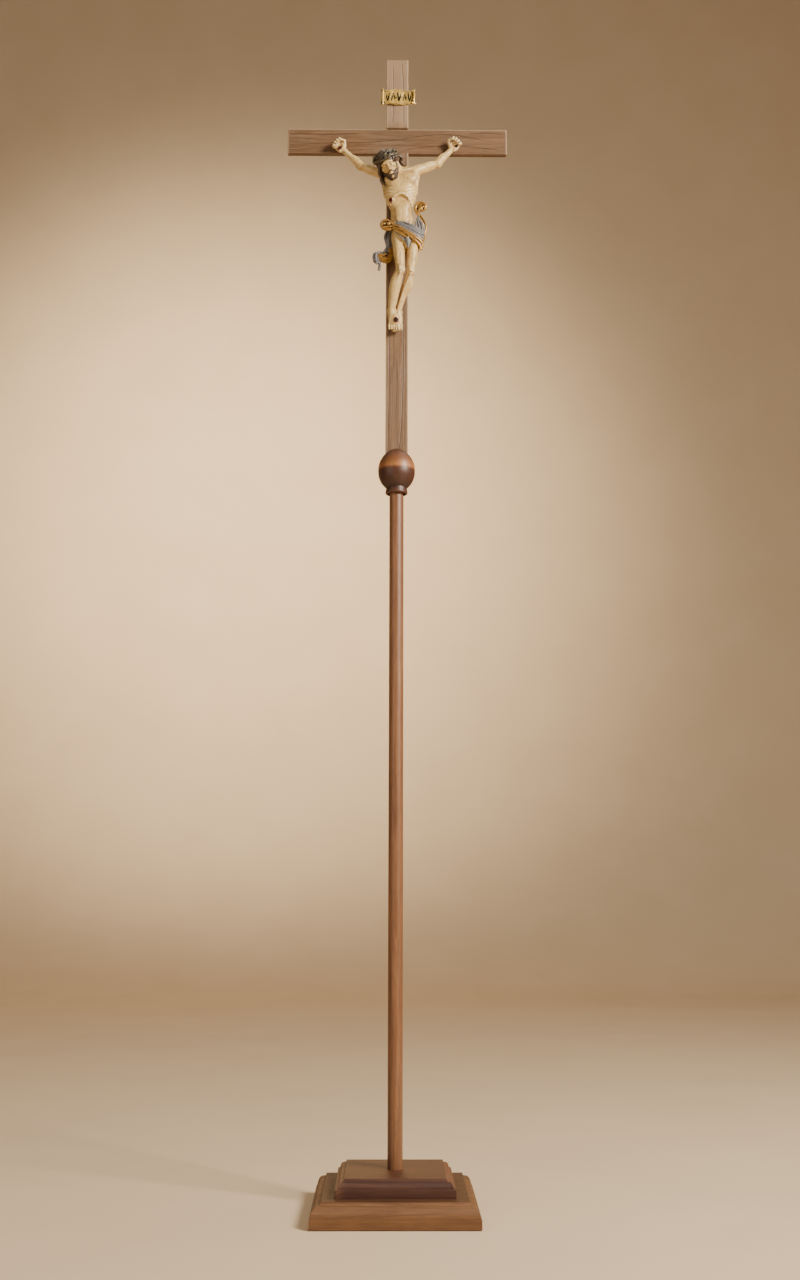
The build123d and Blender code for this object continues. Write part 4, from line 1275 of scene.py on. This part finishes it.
def stub_lines():
    return gouges(
        ([(12.4, 2280), (13.2, 2262), (14, 2240), (13.4, 2225), (14.6, 2180), (13, 2160), (12.2, 2147)], 0.62,
            0.55),
        ([(31.8, 2286), (33.2, 2262), (34.6, 2240), (35.6, 2210), (35.2, 2160), (36, 2146)], 0.62, 0.55),
        ([(22, 2250), (22.8, 2230), (22.2, 2216)], 0.5, 0.2),
    )


def boards():
    low, high = node_box("cross_upright")
    bar_low, bar_high = node_box("cross_bar")
    front = (low[0] * MM, high[0] * MM)
    upright = board_paint("upright_board", (0.11, 0.058, 0.03), (0.215, 0.13, 0.076), (0.315, 0.21, 0.132),
                          (0.43, 0.31, 0.2), 2, [(0, *front)], (0.215, 0.115, 0.056), 0.42)
    bar = board_paint("bar_board", (0.085, 0.043, 0.021), (0.165, 0.094, 0.05), (0.265, 0.17, 0.102),
        (0.42, 0.3, 0.19), 0, [(2, None, bar_high[2] * MM), (0, bar_low[0] * MM, bar_high[0] * MM)],
        (0.205, 0.098, 0.042))
    back = high[1] - 0.08
    plank_object("cross_upright", [
        plank(low, (high[0], back, bar_low[2]), (0.45, 2), upright_lines(), (1.1, 0.4), (1.1, 0)),
        plank((low[0], 2.6, bar_low[2]), (high[0], back, bar_high[2]), (3, 3), [], (0, 0), (0, 0)),
        plank((low[0], low[1], bar_high[2]), (high[0], back, high[2]), (0.45, 1), stub_lines(), (2.4, 1.1),
              (0, 1.1)),
    ], upright)
    plank_object("cross_bar", [plank(bar_low, bar_high, (1.5, 0.45), bar_lines())], bar)


boards()


# ------------------------------------------------------------------ title scroll
def sheet(x, y, z):
    """A wavy ribbon in front of the board, with a scalloped outline."""
    middle = -13 - 1.3 * np.sin(0.095 * (x + 30)) - 0.5 * np.sin(0.31 * x)
    top = 2219 + 1.5 * np.sin(0.13 * (x + 12)) - 0.7 * np.cos(0.42 * x)
    bottom = 2187.2 - 1.3 * np.cos(0.085 * (x - 2)) + 0.5 * np.sin(0.35 * x)
    return np.maximum(np.maximum(np.abs(y - middle) - 1.5, np.maximum(z - top, bottom - z)),
        np.abs(x - 2.5) - 33.5)


def scroll_clay():
    clay = Clay((-40, -22, 2178), (46, -8, 2227), 0.42)
    clay.add((vec(-36, -19, 2183), vec(38, -9, 2223), sheet), 0)
    # the rolled ends
    clay.add(rod((-30.8, -14.2, 2187), (-30.3, -14.4, 2218), 3.1, 3), 0.8)
    clay.line([(35.5, -13.5, 2189, 1.6), (33.5, -15, 2196, 2.6), (35, -14.6, 2206, 2.4),
        (33.8, -14.4, 2214, 2.6), (35.6, -13.6, 2219.5, 1.4)], 0.6)
    clay.line([(31, -14.5, 2190, 2.4), (38.2, -12.8, 2188.6, 0.9)], 0.6)
    clay.line([(31, -14.5, 2216, 2.2), (37, -13, 2217.6, 0.9)], 0.6)
    for height, lean in ((2186.5, -1), (2218.5, 1)):
        clay.carve(rod((-32.6, -16.2, height - 3.5 * lean), (-33, -16.4, height + 3 * lean), 1.4, 1.8), 0.4)
    # a raised border, and a row of carved leaves with a bead between each two
    for side in (-1, 1):
        rail = []
        for x in np.linspace(-26, 30, 29):
            top, bottom = 2217 + 1.5 * math.sin(0.13 * (x + 12)), 2189.4 - 1.3 * math.cos(0.085 * (x - 2))
            edge = top if side > 0 else bottom
            rail.append((x, -14.5 - 1.3 * math.sin(0.095 * (x + 30)), edge, 1.1))
        clay.line(rail, 0.4)
    for number, x in enumerate((-20.5, -9, 3, 14.5, 25)):
        y = -14.6 - 1.3 * math.sin(0.095 * (x + 30))
        lean = 0.18 if number % 2 else -0.14
        clay.carve(egg((x - 1.9, y, 2203.2), (1.6, 2.3, 10.6), (lean, 0, 1)), 0.3)
        clay.carve(egg((x + 2.1, y, 2202.6), (1.3, 2.1, 9), (-lean, 0, 1)), 0.3)
        clay.add(egg((x + 5.9, y - 0.4, 2203), (1, 0.9, 1.4)), 0.4)
    clay.carve(slab((-22.6, -10.05, 2150), (22.6, 20, 2240)), 0.2)
    return clay


# the edge colour is the ridges' rubbed gilding with a painted highlight
SCROLL_GOLD = coat_paint("scroll_gilding", (0.016, 0.009, 0.003), (0.6, 0.38, 0.085), (0.8, 0.56, 0.16), 0.3,
    0.45, edge=(1, 0.84, 0.4))
clay_object("scroll_ribbon", scroll_clay(), SCROLL_GOLD, ("title_scroll",), (8, 0.6))


# ------------------------------------------------------------------ turned and moulded parts
def finish_node(name, material, edge=0):
    """Puts a material on a CAD part, and softens its edges by a few tenths of a millimetre."""
    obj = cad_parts[name]
    obj.data.materials.clear()
    obj.data.materials.append(material)
    if edge:
        bevel = obj.modifiers.new("soft_edge", "BEVEL")
        bevel.width, bevel.segments, bevel.limit_method, bevel.angle_limit = edge * MM, 3, "ANGLE", 0.5
        bevel.harden_normals = False


def turned_knob():
    """Dark glossy stain with a lighter ring round the widest part."""
    paint = Paint("knob_stain")
    z = paint.axes()[2]
    grain = paint.noise(140, 5, 0.6, 0.6, paint.stretched((1, 1, 0.12)))
    rings = paint.sum(z, paint.times(grain, 0.002))
    level = paint.sum(paint.sum(rings, 1.35, "SUBTRACT"), 10, "MULTIPLY")
    colour = paint.steps(level, ((0.02, (0.12, 0.045, 0.022)), (0.16, (0.04, 0.012, 0.007)),
                                 (0.5, (0.085, 0.026, 0.012)), (0.56, (0.4, 0.16, 0.048)),
                                 (0.66, (0.25, 0.098, 0.036)), (0.8, (0.125, 0.048, 0.023)),
                                 (0.95, (0.08, 0.032, 0.018))))
    colour = paint.tint(0.6, colour, paint.steps(grain, ((0.32, 0.45), (0.62, 1))))
    return paint.finish(colour, 0.48, grain, 0.00005, Coat_Weight=0.22, Coat_Roughness=0.36)


def step_wood():
    """Brown on top under painted shade, and a darker red brown along the moulded front, where end grain shows
    and shade is painted in as well.
    """
    paint = Paint("step_wood")
    x, y = paint.axes()[:2]
    fibres = paint.fibres(0, 0.05)
    bands = paint.noise(60, 5, 0.6, 1, fibres)
    fine = paint.noise(700, 6, 0.65, 0.2, fibres)
    turned = paint.stretched((1, 1, 1), (0, -0.9, 0))
    slant = paint.noise(420, 1, 0.5, 0.2, paint.stretched((1, 1, 0.08), source=turned))
    colour = paint.steps(bands, ((0.32, (0.12, 0.042, 0.019)), (0.52, (0.18, 0.071, 0.033)),
        (0.74, (0.23, 0.1, 0.05))))
    # the front's darker red brown: end grain, darkened further as painted shade
    red = paint.steps(bands, ((0.32, (0.04, 0.013, 0.009)), (0.52, (0.064, 0.022, 0.014)),
        (0.74, (0.1, 0.04, 0.026))))
    red = paint.mix(paint.steps(paint.times(x, -9), ((0.78, 0), (0.92, 0.75))), red,
                    paint.steps(slant, ((0.44, (0.08, 0.028, 0.016)), (0.6, (0.19, 0.088, 0.046)))))
    face = paint.steps(paint.times(y, -10), ((0.905, 0), (0.915, 1)))
    # painted shade over the step from 75 mm up
    colour = painted_shade_on_top(paint, paint.mix(face, colour, red), 75)
    colour = paint.tint(0.5, colour, paint.steps(fine, ((0.3, 0.45), (0.62, 1))))
    return paint.finish(colour, 0.52, paint.sum(fine, bands), 0.0001)


def plain_paint(name, low, high, scale, rough, metallic=0, depth=0.0001):
    paint = Paint(name)
    grain = paint.noise(scale, 5, 0.6)
    return paint.finish(paint.steps(grain, ((0.35, low), (0.65, high))), rough, grain, depth,
        Metallic=metallic)


# shelf=44 paints shade over the plinth from 44 mm up
PLINTH = wood("plinth_wood", (0.115, 0.045, 0.016), (0.2, 0.09, 0.034), (0.29, 0.145, 0.062), 0, grain=55,
    gloss=0.55, shelf=44)
POLE = wood("pole_wood", (0.145, 0.054, 0.022), (0.26, 0.112, 0.048), (0.35, 0.17, 0.082), 2, grain=70,
    gloss=0.42, coat=0.2)
STEEL = plain_paint("zinc_steel", (0.42, 0.42, 0.41), (0.6, 0.6, 0.58), 900, 0.34, 1)
IRON = plain_paint("dark_iron", (0.022, 0.016, 0.013), (0.06, 0.042, 0.032), 700, 0.5, 0.6)
FELT = plain_paint("brown_felt", (0.075, 0.045, 0.028), (0.13, 0.082, 0.052), 1600, 0.95, 0, 0.0003)
finish_node("base_plinth", PLINTH, 0.7)
finish_node("base_step", step_wood(), 0.6)
finish_node("staff_pole", POLE, 0.6)
finish_node("staff_knob", turned_knob(), 0.4)
for name in ("base_screws", "knob_screw", "lap_screws", "figure_screws"):
    finish_node(name, STEEL)
for name in ("title_pins", "hand_nails", "foot_nail"):
    finish_node(name, IRON, 0.3)
for name in ("base_felt_pads", "socket_disc"):
    finish_node(name, FELT, 0.3)
